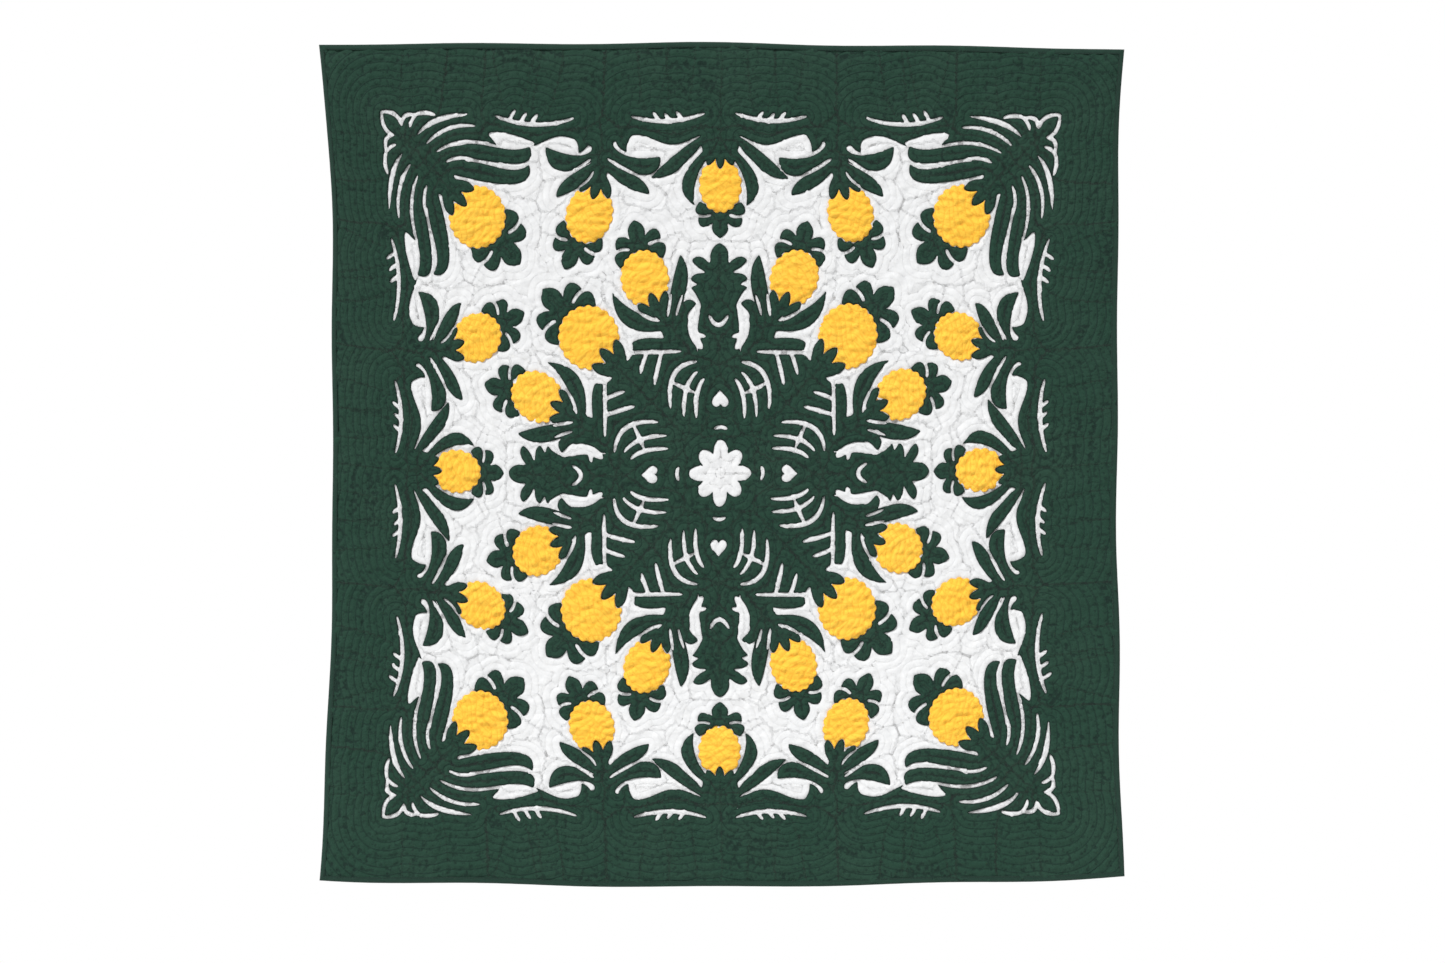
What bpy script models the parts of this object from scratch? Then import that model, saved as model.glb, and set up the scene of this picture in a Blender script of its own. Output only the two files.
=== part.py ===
"""Quilted wall hanging: a square quilt whose face is cut-out cloth sewn on in mirrored folds.

A padded body carries a green frame, a green centrepiece, yellow pineapples with green crowns,
and a narrow binding folded over its edge. The quilt hangs down from the middle of its top edge.
It faces -Y, the wall is behind it at +Y, and Z is up.
"""

import math
from typing import NamedTuple

import bmesh
import bpy
from mathutils import Vector
from mathutils.geometry import delaunay_2d_cdt

PART_NAME = "quilted_wall_hanging"

# The pattern is drawn in millimetres on a square cloth, about its middle, X right and Z up.
HALF_CLOTH = 577.0
BORDER = 92.0
DRAWN_IN_X = 0.977
LET_DOWN_Z = 1.008

# Levels in millimetres in front of the back of the quilt.
BODY_EDGE = 3.6
BODY_FACE = 6.0
APART = 0.3
SEAM_GAP = 0.6
CLOTH_THICK = 1.0
PUFF = 0.9
FRUIT_PUFF = 1.9
FRUIT_RING_PUFF = 1.5
ECHO_RISE = 1.5

# How the hung cloth is out of true, in millimetres.
PULL_LEFT = 19.0
PULL_RIGHT = 9.0
PULL_BEND_TOP = 4.3
PULL_BEND_FOOT = 2.4
TOP_LIFT = 5.6
TOP_TILT = 3.5
BOTTOM_SAG = 12.6
BOTTOM_TILT = 2.1
BILLOW = 4.0
BILLOW_WAVE = 900.0
BILLOW_TURN = 0.8
EDGE_CURL = 3.0

# How the pattern is drawn out of true inside the edge, in millimetres: as a whole, and by the
# shares of the way across (u) and up (v).
DRIFT_X = (-2.8, 15.8, -52.4, 13.5, -12.7)
DRIFT_Z = (-12.8, 4.1, 21.1, 13.2, -41.3, -44.0)

# The binding, in millimetres, and the middle of the bound edge, where the quilt is held.
BINDING_WIDTH = 7.0
BINDING_THICK = 1.0
BINDING_ROUND = 1.2
BODY_INSET = BINDING_THICK + APART
MOUNT_LEVEL = 2.45

ECHO_LINES = 4
ECHO_PITCH = 16.5
ARCH_WIDTH = 167.0
ARCH_STEPS = 4
ARCH_DEPTH = 15.0
ARCH_LAST_FULL = 6
ARCH_LAST = 10
CORNER_FOOT = 0.3

EDGE_STEPS = 14
RAMP = 20.0
ECHO_SIDE = 11
ARCH_BEND = 0.8
LEAF_STATIONS = (0.0, 0.4, 0.8, 1.0)
SLIT_STATIONS = (0.0, 0.5, 1.0)
LEAF_FULLNESS = 0.6
CUT_WIDTH = 6.0
NEAR_POINT = 1.0
STRAIGHT = 0.6
LEAST_HOLE = 45.0
LEAST_PIECE = 200.0
SPOT_CLEAR = 5.0

GROUND_PITCH = 30.0
GROUND_INNER = 170.0
GROUND_OUTER = 456.0
GROUND_POWER_INNER = 2.3
GROUND_POWER_OUTER = 5.3
GROUND_STEP = 64.0
BACK_STEP = 86.0
HUB_RINGS = (56.0, 84.0, 112.0, 140.0)
HUB_STEP = 34.0
SPINE_SPOTS = (0.35, 0.62)

GREEN = (0.016, 0.051, 0.034)
DEEP_GREEN = (0.014, 0.045, 0.030)
YELLOW = (0.92, 0.50, 0.055)
WHITE = (0.86, 0.86, 0.85)
ROUGH = 0.9


class Leaf(NamedTuple):
    """A leaf on a bent spine, with its width to the left and right of the spine."""

    root: tuple
    bend: tuple
    tip: tuple
    left: float
    right: float
    peak: float = 0.5
    blunt: bool = False
    neck: float = 0.6


class Slit(NamedTuple):
    """A thin tapered cut on a bent spine."""

    root: tuple
    bend: tuple
    tip: tuple
    width: float = CUT_WIDTH


class Fruit(NamedTuple):
    """A pineapple's kind: half its width, half its length and the scale of its crown."""

    across: float
    along: float
    crown: float


class Place(NamedTuple):
    """Where one pineapple lies: its name, kind, middle, and the ways it and its crown point in degrees."""

    name: str
    kind: str
    x: float
    z: float
    heading: float
    crown: float


FRUITS = {
    "large": Fruit(across=42.5, along=43.5, crown=1.15),
    "small": Fruit(across=33.0, along=39.0, crown=1.0),
    "slim": Fruit(across=30.5, along=38.5, crown=0.86),
}

# The centrepiece between the upright and the diagonal, which is mirrored eight times.
HUB_HALF = 160.0
HUB_POWER = 9.0
HUB_POINTS = 32
CENTRE_LEAVES = (
    Leaf((62, 198), (46, 254), (58, 291), 9.5, 9, 0.6),
    Leaf((56, 188), (54, 230), (28, 229), 8, 8, 0.5, False, 0.8),
    Leaf((64, 194), (118, 200), (152, 246), 12, 12, 0.55),
    Leaf((50, 176), (90, 178), (121, 174), 10.5, 9.5, 0.7, True, 1.0),
    Leaf((52, 150), (56, 190), (90, 226), 15, 15, 0.4, False, 1.0),
    Leaf((52, 150), (58, 186), (61, 214), 24, 18, 0.5, True, 1.0),
)
CENTRE_SLITS = (
    Slit((25, 226), (48, 195), (22, 164), 14),
    Slit((48, 164), (88, 163), (126, 164), 6.5),
    Slit((122, 190), (122, 167), (129, 150), 6.5),
    Slit((98, 165), (106, 150), (110, 131), 5.5),
    Slit((78, 164), (86, 140), (90, 117), 6),
    Slit((29, 148), (76, 146), (68, 84), 6.5),
    Slit((20, 126), (36, 112), (33, 71), 6),
    Slit((29, 135), (52, 119), (50, 73), 5.5),
)
AXIAL_TRUNK = Leaf((0, 110), (0, 180), (0, 250), 29, 29, 0.5, True, 1.0)
AXIAL_FRUIT = Leaf((0, 178), (0, 235), (0, 284), 26, 26, 0.45, True, 1.0)
AXIAL_TOP = Leaf((0, 258), (0, 284), (0, 306), 13, 13, 0.6, False, 0.9)
AXIAL_LOBES = (
    Leaf((6, 260), (24, 285), (41, 281), 9, 8, 0.6),
    Leaf((10, 248), (27, 266), (41, 256), 8, 7, 0.55),
    Leaf((14, 232), (28, 249), (41, 243), 8, 6, 0.5),
)
AXIAL_SMILE = Slit((-14, 211), (0, 182), (14, 211), 5.5)
STAR_TIP = 44.0
STAR_VALLEY = 26.0
STAR_PETALS = 8
STAR_STEPS = 16
HEART_Z = 97.0
HEART = ((0, 13), (8, 3), (11, -6), (7, -12), (2, -10), (0, -5), (-2, -10), (-7, -12), (-11, -6), (-8, 3))
ARC_CUT = Slit((-10, 57), (0, 64), (10, 57), 5)

# The frame, for the upper side of the field and its right half, which is mirrored eight times.
FIELD_EDGE = 453.0
FIELD_WAVE = 9.0
FIELD_WAVE_LONG = 106.0
FIELD_CREST = 118.0
FIELD_STEPS = 24
FIELD_REACH = 335.0
FRAME_LEAVES = (
    Leaf((164, 470), (162, 430), (173, 380), 15, 15, 0.3, False, 1.0),
    Leaf((174, 440), (222, 402), (247, 444), 11, 10, 0.6),
    Leaf((168, 430), (198, 400), (231, 374), 10, 11, 0.6),
    Leaf((154, 440), (108, 400), (82, 437), 10, 11, 0.6),
    Leaf((162, 430), (134, 390), (102, 379), 11, 10, 0.6),
    Leaf((12, 456), (66, 437), (96, 402), 12, 13, 0.55, False, 0.9),
    Leaf((10, 434), (60, 406), (32, 362), 11, 12, 0.6),
    Leaf((0, 470), (16, 445), (0, 412), 20, 20, 0.3, False, 1.0),
    Leaf((408, 408), (340, 402), (271, 417), 14, 10, 0.6, False, 0.9),
    Leaf((425, 436), (342, 428), (267, 442), 12, 13, 0.6, False, 0.9),
)
CORNER_SHOULDER = ((500, 500), (340, 500), (352, 456), (385, 415), (415, 385), (456, 352), (500, 340))
CORNER_STEM = Leaf((440, 440), (410, 410), (374, 374), 20, 20, 0.4, False, 1.0)
FRAME_SLITS = (
    Slit((396, 428), (340, 424), (266, 419), 5.5),
    Slit((410, 443), (350, 466), (264, 443), 6),
    Slit((424, 456), (396, 480), (350, 473), 6),
    Slit((438, 465), (410, 500), (360, 488), 6.5),
    Slit((404, 491), (440, 498), (484, 489), 5.5),
    Slit((446, 494), (441, 484), (450, 473), 5),
    Slit((461, 492), (465, 484), (463, 474), 5),
    Slit((322, 487), (264, 464), (205, 483), 7),
    Slit((125, 484), (72, 467), (20, 486), 7),
)

# Where pineapples lie between the upright and the diagonal, and the ways each and its crown point.
PLACES = (
    Place("centre_corner", "large", 183, 183, 45, 45),
    Place("centre_side", "small", 104, 260, 22, 12),
    Place("frame_corner", "large", 350, 350, 225, 225),
    Place("frame_flank", "small", 183, 350, 165, 155),
    Place("frame_middle", "slim", 0, 386, 180, 180),
)

# A crown of lobes, with its base on the fruit's end and its middle lobe along +Z.
CROWN_SINK = 3.0
CROWN_BASE = 13.0
CROWN_BASE_POINTS = 8
CROWN_SPOT = 14.0
CROWN_LOBES = (
    Leaf((0, 0), (0, 18), (0, 41), 11, 11, 0.65, False, 0.4),
    Leaf((3, 2), (17, 20), (33, 30), 10, 11, 0.65, False, 0.4),
    Leaf((5, 0), (27, 7), (42, -5), 10, 11, 0.65, False, 0.4),
    Leaf((-3, 2), (-17, 20), (-33, 30), 11, 10, 0.65, False, 0.4),
    Leaf((-5, 0), (-27, 7), (-42, -5), 11, 10, 0.65, False, 0.4),
)

# The green lobes a fruit sits in, with its stem end at 0 and the fruit along +Z.
CALYX_LOBES = (
    Leaf((0, -14), (0, 2), (0, 16), 8, 8, 0.55, False, 0.9),
    Leaf((4, -14), (15, -4), (20, 13), 7.5, 7.5, 0.6, False, 0.9),
    Leaf((-4, -14), (-15, -4), (-20, 13), 7.5, 7.5, 0.6, False, 0.9),
)
FRUIT_POINTS = 14
FRUIT_RING = 0.55
FRUIT_RING_POINTS = 5


def bezier(root, bend, tip, stations):
    """Points along a quadratic curve from root to tip, with the unit normal to its left."""
    found = []
    for t in stations:
        a, b, c = (1 - t) ** 2, 2 * t * (1 - t), t * t
        x = a * root[0] + b * bend[0] + c * tip[0]
        z = a * root[1] + b * bend[1] + c * tip[1]
        dx = (1 - t) * (bend[0] - root[0]) + t * (tip[0] - bend[0])
        dz = (1 - t) * (bend[1] - root[1]) + t * (tip[1] - bend[1])
        size = math.hypot(dx, dz) or 1.0
        found.append((t, x, z, -dz / size, dx / size))
    return found


def leaf_share(leaf, t):
    """A leaf's width at t along it, as a share of its widest."""
    if t < leaf.peak:
        return leaf.neck + (1 - leaf.neck) * math.sin(math.pi / 2 * t / leaf.peak)
    past = (t - leaf.peak) / (1 - leaf.peak)
    if leaf.blunt:
        return math.sqrt(max(0.0, 1 - past * past))
    return max(0.0, math.cos(math.pi / 2 * past)) ** LEAF_FULLNESS


def leaf_outline(leaf, grow=0.0):
    """The closed outline of a leaf, made wider by grow on each side."""
    line = bezier(leaf.root, leaf.bend, leaf.tip, LEAF_STATIONS)
    left, right = [], []
    for t, x, z, nx, nz in line[:-1]:
        share = leaf_share(leaf, t)
        left.append((x + nx * (leaf.left * share + grow), z + nz * (leaf.left * share + grow)))
        right.append((x - nx * (leaf.right * share + grow), z - nz * (leaf.right * share + grow)))
    _, x, z, nx, nz = line[-1]
    tip = (x + 2 * nz * grow, z - 2 * nx * grow)
    return left + [tip] + right[::-1]


def slit_outline(slit):
    """The closed outline of a tapered cut, pointed at both ends."""
    line = bezier(slit.root, slit.bend, slit.tip, SLIT_STATIONS)
    left, right = [], []
    for t, x, z, nx, nz in line[1:-1]:
        half = slit.width / 2 * math.sin(math.pi * t) ** 0.25
        left.append((x + nx * half, z + nz * half))
        right.append((x - nx * half, z - nz * half))
    return [line[0][1:3]] + left + [line[-1][1:3]] + right[::-1]


def ring_outline(across, along, points, x=0.0, z=0.0):
    """An ellipse with this many points."""
    return [
        (
            x + across * math.sin(2 * math.pi * i / points),
            z - along * math.cos(2 * math.pi * i / points),
        )
        for i in range(points)
    ]


def mirrored(point, flip_x, flip_z, swap):
    """A point mirrored about the upright, the level and the diagonal."""
    x, z = (point[1], point[0]) if swap else (point[0], point[1])
    return (-x if flip_x else x, -z if flip_z else z)


def copies(points, flips_x=(False, True)):
    """An outline and its mirror images, as a cloth folded three times is cut."""
    return [
        [mirrored(point, flip_x, flip_z, swap) for point in points]
        for swap in (False, True)
        for flip_x in flips_x
        for flip_z in (False, True)
    ]


def axial(points):
    """The four copies of an outline that lies on an axis and is its own mirror image."""
    return [
        points,
        [(x, -z) for x, z in points],
        [(z, x) for x, z in points],
        [(-z, x) for x, z in points],
    ]


def diagonal(points):
    """The four copies of an outline that lies on a diagonal and is its own mirror image."""
    return [[(x * a, z * b) for x, z in points] for a in (1, -1) for b in (1, -1)]


def super_ring(half, power, points):
    """A ring between a circle and a square, with this half width."""
    found = []
    for i in range(points):
        angle = 2 * math.pi * i / points
        c, s = math.cos(angle), math.sin(angle)
        reach = half * (abs(c) ** power + abs(s) ** power) ** (-1 / power)
        found.append((reach * c, reach * s))
    return found


def edge_ring(inset, steps):
    """A square ring this far inside the cloth's edge, with this many steps on each side."""
    half = HALF_CLOTH - inset
    side = [-half + 2 * half * i / steps for i in range(steps)]
    return (
        [(s, -half) for s in side]
        + [(half, s) for s in side]
        + [(-s, half) for s in side]
        + [(-half, -s) for s in side]
    )


def echo_ring(line):
    """One line of the border's echo quilting: arches whose feet lie over the plants."""
    half = HALF_CLOTH - RAMP - line * ECHO_PITCH / 2
    depth = ARCH_DEPTH * line / (2 * ECHO_LINES - 1)
    step = ARCH_WIDTH / ARCH_STEPS
    side = []
    for i in range(-ECHO_SIDE, ECHO_SIDE + 1):
        foot = 1 - abs(math.sin(math.pi * i / ARCH_STEPS)) ** ARCH_BEND
        if abs(i) > ARCH_LAST_FULL:
            foot *= CORNER_FOOT if abs(i) < ARCH_LAST else 0.0
        side.append((i * step, depth * foot - half))
    side.append((half, -half))
    ring = []
    for _ in range(4):
        ring += side
        side = [(-z, x) for x, z in side]
    return ring


def field_outline():
    """The wavy inner edge of the frame, before its leaves are drawn over it."""
    side = []
    for i in range(FIELD_STEPS + 1):
        x = -FIELD_REACH + 2 * FIELD_REACH * i / FIELD_STEPS
        wave = FIELD_WAVE * math.cos(2 * math.pi * (abs(x) - FIELD_CREST) / FIELD_WAVE_LONG)
        side.append((x, -FIELD_EDGE - wave))
    ring = []
    for _ in range(4):
        ring += side
        side = [(-z, x) for x, z in side]
    return ring


def star_outline():
    """The star cut from the middle, with rounded petals."""
    found = []
    for i in range(STAR_STEPS):
        angle = 2 * math.pi * i / STAR_STEPS
        swell = abs(math.cos(STAR_PETALS * angle / 2))
        reach = STAR_VALLEY + (STAR_TIP - STAR_VALLEY) * swell
        found.append((reach * math.cos(angle), reach * math.sin(angle)))
    return found


def unit(heading):
    """The unit way of a heading, which counts clockwise from straight up in degrees."""
    return (math.sin(math.radians(heading)), math.cos(math.radians(heading)))


def turned(points, place, scale=1.0, lift=0.0):
    """Points of a motif laid at a pineapple's place, its +Z turned to its heading."""
    sine, cosine = unit(place.heading)
    found = []
    for px, pz in points:
        across, along = scale * px, scale * pz + lift
        found.append((place.x + across * cosine + along * sine, place.z + along * cosine - across * sine))
    return found


def all_places():
    """Every pineapple: the five drawn ones and their mirror images, counted round the cloth."""
    found = []
    for place in PLACES:
        ways = [unit(place.heading), unit(place.crown)]
        seen = {}
        for spot, *mirrored_ways in copies([(place.x, place.z), *ways]):
            key = (round(spot[0]), round(spot[1]))
            if key not in seen:
                heading, crown = (math.degrees(math.atan2(*way)) for way in mirrored_ways)
                seen[key] = place._replace(x=spot[0], z=spot[1], heading=heading, crown=crown)
        ordered = sorted(seen.values(), key=lambda p: math.atan2(p.x, p.z) % (2 * math.pi))
        found += [p._replace(name=f"{p.name}_{i}") for i, p in enumerate(ordered, 1)]
    return found


def fruit_outline(place, grow=0.0):
    """The round edge of a pineapple's fruit."""
    kind = FRUITS[place.kind]
    return turned(ring_outline(kind.across + grow, kind.along + grow, FRUIT_POINTS), place)


def calyx_outlines(place, grow=0.0):
    """The lobes a fruit sits in."""
    kind = FRUITS[place.kind]
    shapes = [leaf_outline(lobe, grow / kind.crown) for lobe in CALYX_LOBES]
    return [turned(shape, place, kind.crown, -kind.along) for shape in shapes]


def crown_outlines(place):
    """The base and the lobes of a pineapple's crown."""
    kind = FRUITS[place.kind]
    lift = kind.along - CROWN_SINK
    shapes = [ring_outline(CROWN_BASE, CROWN_BASE, CROWN_BASE_POINTS)]
    shapes += [leaf_outline(lobe) for lobe in CROWN_LOBES]
    return [turned(shape, place._replace(heading=place.crown), kind.crown, lift) for shape in shapes]


def box_of(outline):
    """The least and greatest x and z of an outline."""
    xs, zs = [p[0] for p in outline], [p[1] for p in outline]
    return min(xs), max(xs), min(zs), max(zs)


def inside(x, z, outline):
    """Whether a point is inside a closed outline."""
    found = False
    x0, z0 = outline[-1]
    for x1, z1 in outline:
        if (z0 > z) != (z1 > z) and x < (x1 - x0) * (z - z0) / (z1 - z0) + x0:
            found = not found
        x0, z0 = x1, z1
    return found


def clearance(x, z, outline):
    """How far a point is from a closed outline."""
    least = 1e9
    x0, z0 = outline[-1]
    for x1, z1 in outline:
        dx, dz = x1 - x0, z1 - z0
        t = max(0.0, min(1.0, ((x - x0) * dx + (z - z0) * dz) / (dx * dx + dz * dz)))
        least = min(least, math.hypot(x - x0 - t * dx, z - z0 - t * dz))
        x0, z0 = x1, z1
    return least


def signed_area(outline):
    """The area in an outline, positive when it runs counter-clockwise."""
    x0, z0 = outline[-1]
    total = 0.0
    for x1, z1 in outline:
        total += (x0 * z1 - x1 * z0) / 2
        x0, z0 = x1, z1
    return total


def tidy_outline(outline):
    """The outline without points that are very near the last one or on a straight run."""
    kept = []
    for point in outline:
        if not kept or math.dist(point, kept[-1]) > NEAR_POINT:
            kept.append(point)
    while len(kept) > 3 and math.dist(kept[0], kept[-1]) <= NEAR_POINT:
        kept.pop()
    found = []
    for i, (x, z) in enumerate(kept):
        x0, z0 = found[-1] if found else kept[i - 1]
        x1, z1 = kept[(i + 1) % len(kept)]
        area = abs((x - x0) * (z1 - z0) - (x1 - x0) * (z - z0))
        bound = max(abs(x), abs(z)) > HALF_CLOTH - BORDER / 2
        if bound or area > STRAIGHT * (math.hypot(x1 - x0, z1 - z0) or 1.0):
            found.append((x, z))
    return found


def cut_cloth(layers):
    """The outlines of the cloth left when outlines are laid on (True) or cut out (False) in turn."""
    points, edges = [], []
    for outline, _ in layers:
        first, count = len(points), len(outline)
        points += [Vector(point) for point in outline]
        edges += [(first + i, first + (i + 1) % count) for i in range(count)]
    corners, _, faces = delaunay_2d_cdt(points, edges, [], 0, 1e-4)[:3]
    boxed = [(outline, laid, box_of(outline)) for outline, laid in layers]
    sides = set()
    for face in faces:
        x = sum(corners[i][0] for i in face) / 3
        z = sum(corners[i][1] for i in face) / 3
        cloth = False
        for outline, laid, box in boxed:
            if laid != cloth and box[0] < x < box[1] and box[2] < z < box[3] and inside(x, z, outline):
                cloth = laid
        if cloth:
            sides.update(zip(face, face[1:] + face[:1]))
    ahead = {a: b for a, b in sides if (b, a) not in sides}
    outlines = []
    while ahead:
        walk = [min(ahead)]
        while walk[-1] in ahead:
            walk.append(ahead.pop(walk[-1]))
        walk.pop()
        outline = tidy_outline([(corners[i][0], corners[i][1]) for i in walk])
        area = signed_area(outline) if len(outline) > 2 else 0.0
        if area > LEAST_PIECE or area < -LEAST_HOLE:
            outlines.append(outline)
    return outlines


class Side(NamedTuple):
    """One face of a solid: its level along the outline, and inner points as (x, z, level)."""

    level: object
    spots: list
    rings: list


def fill(outlines, side):
    """Points and triangles that fill the outlines, with a side's inner points and rings."""
    points = [(x, z, side.level(x, z)) for outline in outlines for x, z in outline]
    edges = []
    first = 0
    for outline in outlines:
        edges += [(first + i, first + (i + 1) % len(outline)) for i in range(len(outline))]
        first += len(outline)
    for ring in side.rings:
        edges += [(first + i, first + (i + 1) % len(ring)) for i in range(len(ring))]
        points += ring
        first += len(ring)
    points += side.spots
    flat, _, faces = delaunay_2d_cdt([Vector(p[:2]) for p in points], edges, [], 0, 1e-4)[:3]
    if len(flat) != len(points):
        raise ValueError(f"the outlines or rings cross: {len(points)} points became {len(flat)}")
    kept = []
    for face in faces:
        x = sum(flat[i][0] for i in face) / 3
        z = sum(flat[i][1] for i in face) / 3
        if sum(inside(x, z, outline) for outline in outlines) % 2:
            kept.append(face)
    return points, kept


def hang(x, z, level):
    """Where a point of the square cloth lies on the hung quilt, in metres."""
    u, v = x / HALF_CLOTH, z / HALF_CLOTH
    pull = PULL_LEFT if u < 0 else PULL_RIGHT
    bend = PULL_BEND_TOP if v > 0 else PULL_BEND_FOOT
    drawn = x * DRAWN_IN_X - math.copysign(pull * u * u * (1 - abs(v) ** bend), u)
    top = TOP_LIFT * (1 - u * u) - TOP_TILT * u
    foot = BOTTOM_TILT * u - BOTTOM_SAG * (1 - u * u)
    let_down = z * LET_DOWN_Z + (1 + v) / 2 * top + (1 - v) / 2 * foot
    within = (1 - u**4) * (1 - v**4)
    drawn += within * sum(a * b for a, b in zip(DRIFT_X, (1, u, u**3, u * v, u * u)))
    let_down += within * sum(a * b for a, b in zip(DRIFT_Z, (1, u, v, v * v, v**3, u * u * v)))
    low = (1 - v) / 2
    off_wall = BILLOW * low * math.sin(2 * math.pi * x / BILLOW_WAVE + BILLOW_TURN * v)
    off_wall += EDGE_CURL * low ** 3 * (1 + u * u) / 2
    reach = HALF_CLOTH * LET_DOWN_Z + TOP_LIFT
    return (drawn / 1000, (MOUNT_LEVEL - level - off_wall) / 1000, (let_down - reach) / 1000)


def body_level(x, z):
    """The level of the padded body's face, which is pressed thinner towards its edge."""
    inset = HALF_CLOTH - max(abs(x), abs(z))
    return BODY_EDGE + (BODY_FACE - BODY_EDGE) * min(1.0, max(0.0, inset / RAMP))


def cloth_back(x, z):
    """The level of the back of a cloth sewn on the body."""
    return body_level(x, z) + APART


def cloth_front(x, z):
    """The level of the front of a sewn-on cloth at its turned edge."""
    return cloth_back(x, z) + CLOTH_THICK


def add_solid(name, finish, outlines, front, back):
    """A closed solid between two filled sides that share their outlines."""
    mesh = bmesh.new()
    border = sum(len(outline) for outline in outlines)
    rims = []
    for side, outward in ((front, False), (back, True)):
        points, faces = fill(outlines, side)
        corners = [mesh.verts.new(hang(*point)) for point in points]
        for face in faces:
            mesh.faces.new([corners[i] for i in (reversed(face) if outward else face)])
        rims.append(corners[:border])
    first = 0
    for outline in outlines:
        count = len(outline)
        for i in range(count):
            a, b = first + i, first + (i + 1) % count
            mesh.faces.new((rims[0][b], rims[0][a], rims[1][a], rims[1][b]))
        first += count
    return add_object(name, finish, mesh)


def add_object(name, finish, mesh):
    """A named object with one finish, from a finished bmesh."""
    bmesh.ops.triangulate(mesh, faces=mesh.faces[:])
    data = bpy.data.meshes.new(name)
    mesh.to_mesh(data)
    mesh.free()
    data.materials.append(finish)
    item = bpy.data.objects.new(name, data)
    bpy.data.collections[PART_NAME].objects.link(item)
    return item


def add_finish(name, colour):
    """A matt cloth finish of one colour."""
    finish = bpy.data.materials.new(name)
    finish.use_nodes = True
    shader = finish.node_tree.nodes["Principled BSDF"]
    shader.inputs["Base Color"].default_value = (*colour, 1.0)
    shader.inputs["Roughness"].default_value = ROUGH
    shader.inputs["Metallic"].default_value = 0.0
    finish.diffuse_color = (*colour, 1.0)
    return finish


def with_levels(points, rise, base):
    """Points as (x, z, level), raised above a base level."""
    return [(x, z, base(x, z) + rise) for x, z in points]


def clear_points(points, outlines, rise, base):
    """The points that lie in the cloth and well away from its edges, raised above a base level."""
    kept = []
    for x, z in points:
        held = sum(inside(x, z, outline) for outline in outlines) % 2
        if held and min(clearance(x, z, outline) for outline in outlines) > SPOT_CLEAR:
            kept.append((x, z))
    return with_levels(kept, rise, base)


def spine_points(leaves):
    """Points along the middles of leaves, in their eight mirror images."""
    found = {}
    for leaf in leaves:
        for share in SPINE_SPOTS:
            a, b, c = (1 - share) ** 2, 2 * share * (1 - share), share**2
            x = a * leaf.root[0] + b * leaf.bend[0] + c * leaf.tip[0]
            z = a * leaf.root[1] + b * leaf.bend[1] + c * leaf.tip[1]
            for (spot,) in copies([(x, z)]):
                found[(round(spot[0]), round(spot[1]))] = spot
    return list(found.values())


def grid_points(half, step):
    """A square grid of points within this half width."""
    reach = int(half // step)
    return [(i * step, j * step) for i in range(-reach, reach + 1) for j in range(-reach, reach + 1)]


def add_body(finish):
    """The padded body: ground cloth, wadding and backing quilted together as one piece."""
    outline = edge_ring(BODY_INSET, EDGE_STEPS)
    rings = [
        with_levels(edge_ring(RAMP, EDGE_STEPS), 0.0, body_level),
        with_levels(edge_ring(BORDER * 2 / 3, EDGE_STEPS - 1), 0.0, body_level),
    ]
    lines = int((GROUND_OUTER - GROUND_INNER) // (GROUND_PITCH / 2))
    for i in range(0, lines, 2):
        half = GROUND_INNER + i * GROUND_PITCH / 2
        share = i / lines
        count = 8 * round(half / GROUND_STEP)
        power = GROUND_POWER_INNER + (GROUND_POWER_OUTER - GROUND_POWER_INNER) * share
        ring = super_ring(half, power, count)
        rise = 0.0 if i % 4 else -PUFF
        rings.append(with_levels(ring, rise, body_level))
    for half in HUB_RINGS[::2]:
        ring = super_ring(half, GROUND_POWER_INNER, 8 * round(half / GROUND_STEP))
        rings.append(with_levels(ring, 0.0, body_level))
    front = Side(body_level, [(0.0, 0.0, BODY_FACE)], rings)
    back = Side(lambda x, z: 0.0, [(x, z, 0.0) for x, z in grid_points(HALF_CLOTH - RAMP, BACK_STEP)], [])
    return add_solid("quilt_body", finish, [outline], front, back)


def add_binding(finish):
    """The strip folded over the edge, front to back, and mitred at the corners."""
    sections = []
    for inset, rise, in_front in (
        (BINDING_WIDTH, APART, True),
        (BINDING_WIDTH, BODY_INSET, True),
        (0.0, BODY_INSET - BINDING_ROUND, True),
        (0.0, BINDING_ROUND - BODY_INSET, False),
        (BINDING_WIDTH, -BODY_INSET, False),
        (BINDING_WIDTH, -APART, False),
        (BINDING_THICK, -APART, False),
        (BINDING_THICK, APART, True),
    ):
        level = rise + (cloth_front(HALF_CLOTH - inset, 0.0) if in_front else 0.0)
        sections.append([(x, z, level) for x, z in edge_ring(inset, EDGE_STEPS)])
    mesh = bmesh.new()
    rows = [[mesh.verts.new(hang(*point)) for point in section] for section in sections]
    around = 4 * EDGE_STEPS
    for row, after in zip(rows, rows[1:] + rows[:1]):
        for i in range(around):
            j = (i + 1) % around
            mesh.faces.new((row[i], after[i], after[j], row[j]))
    return add_object("binding", finish, mesh)


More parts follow.
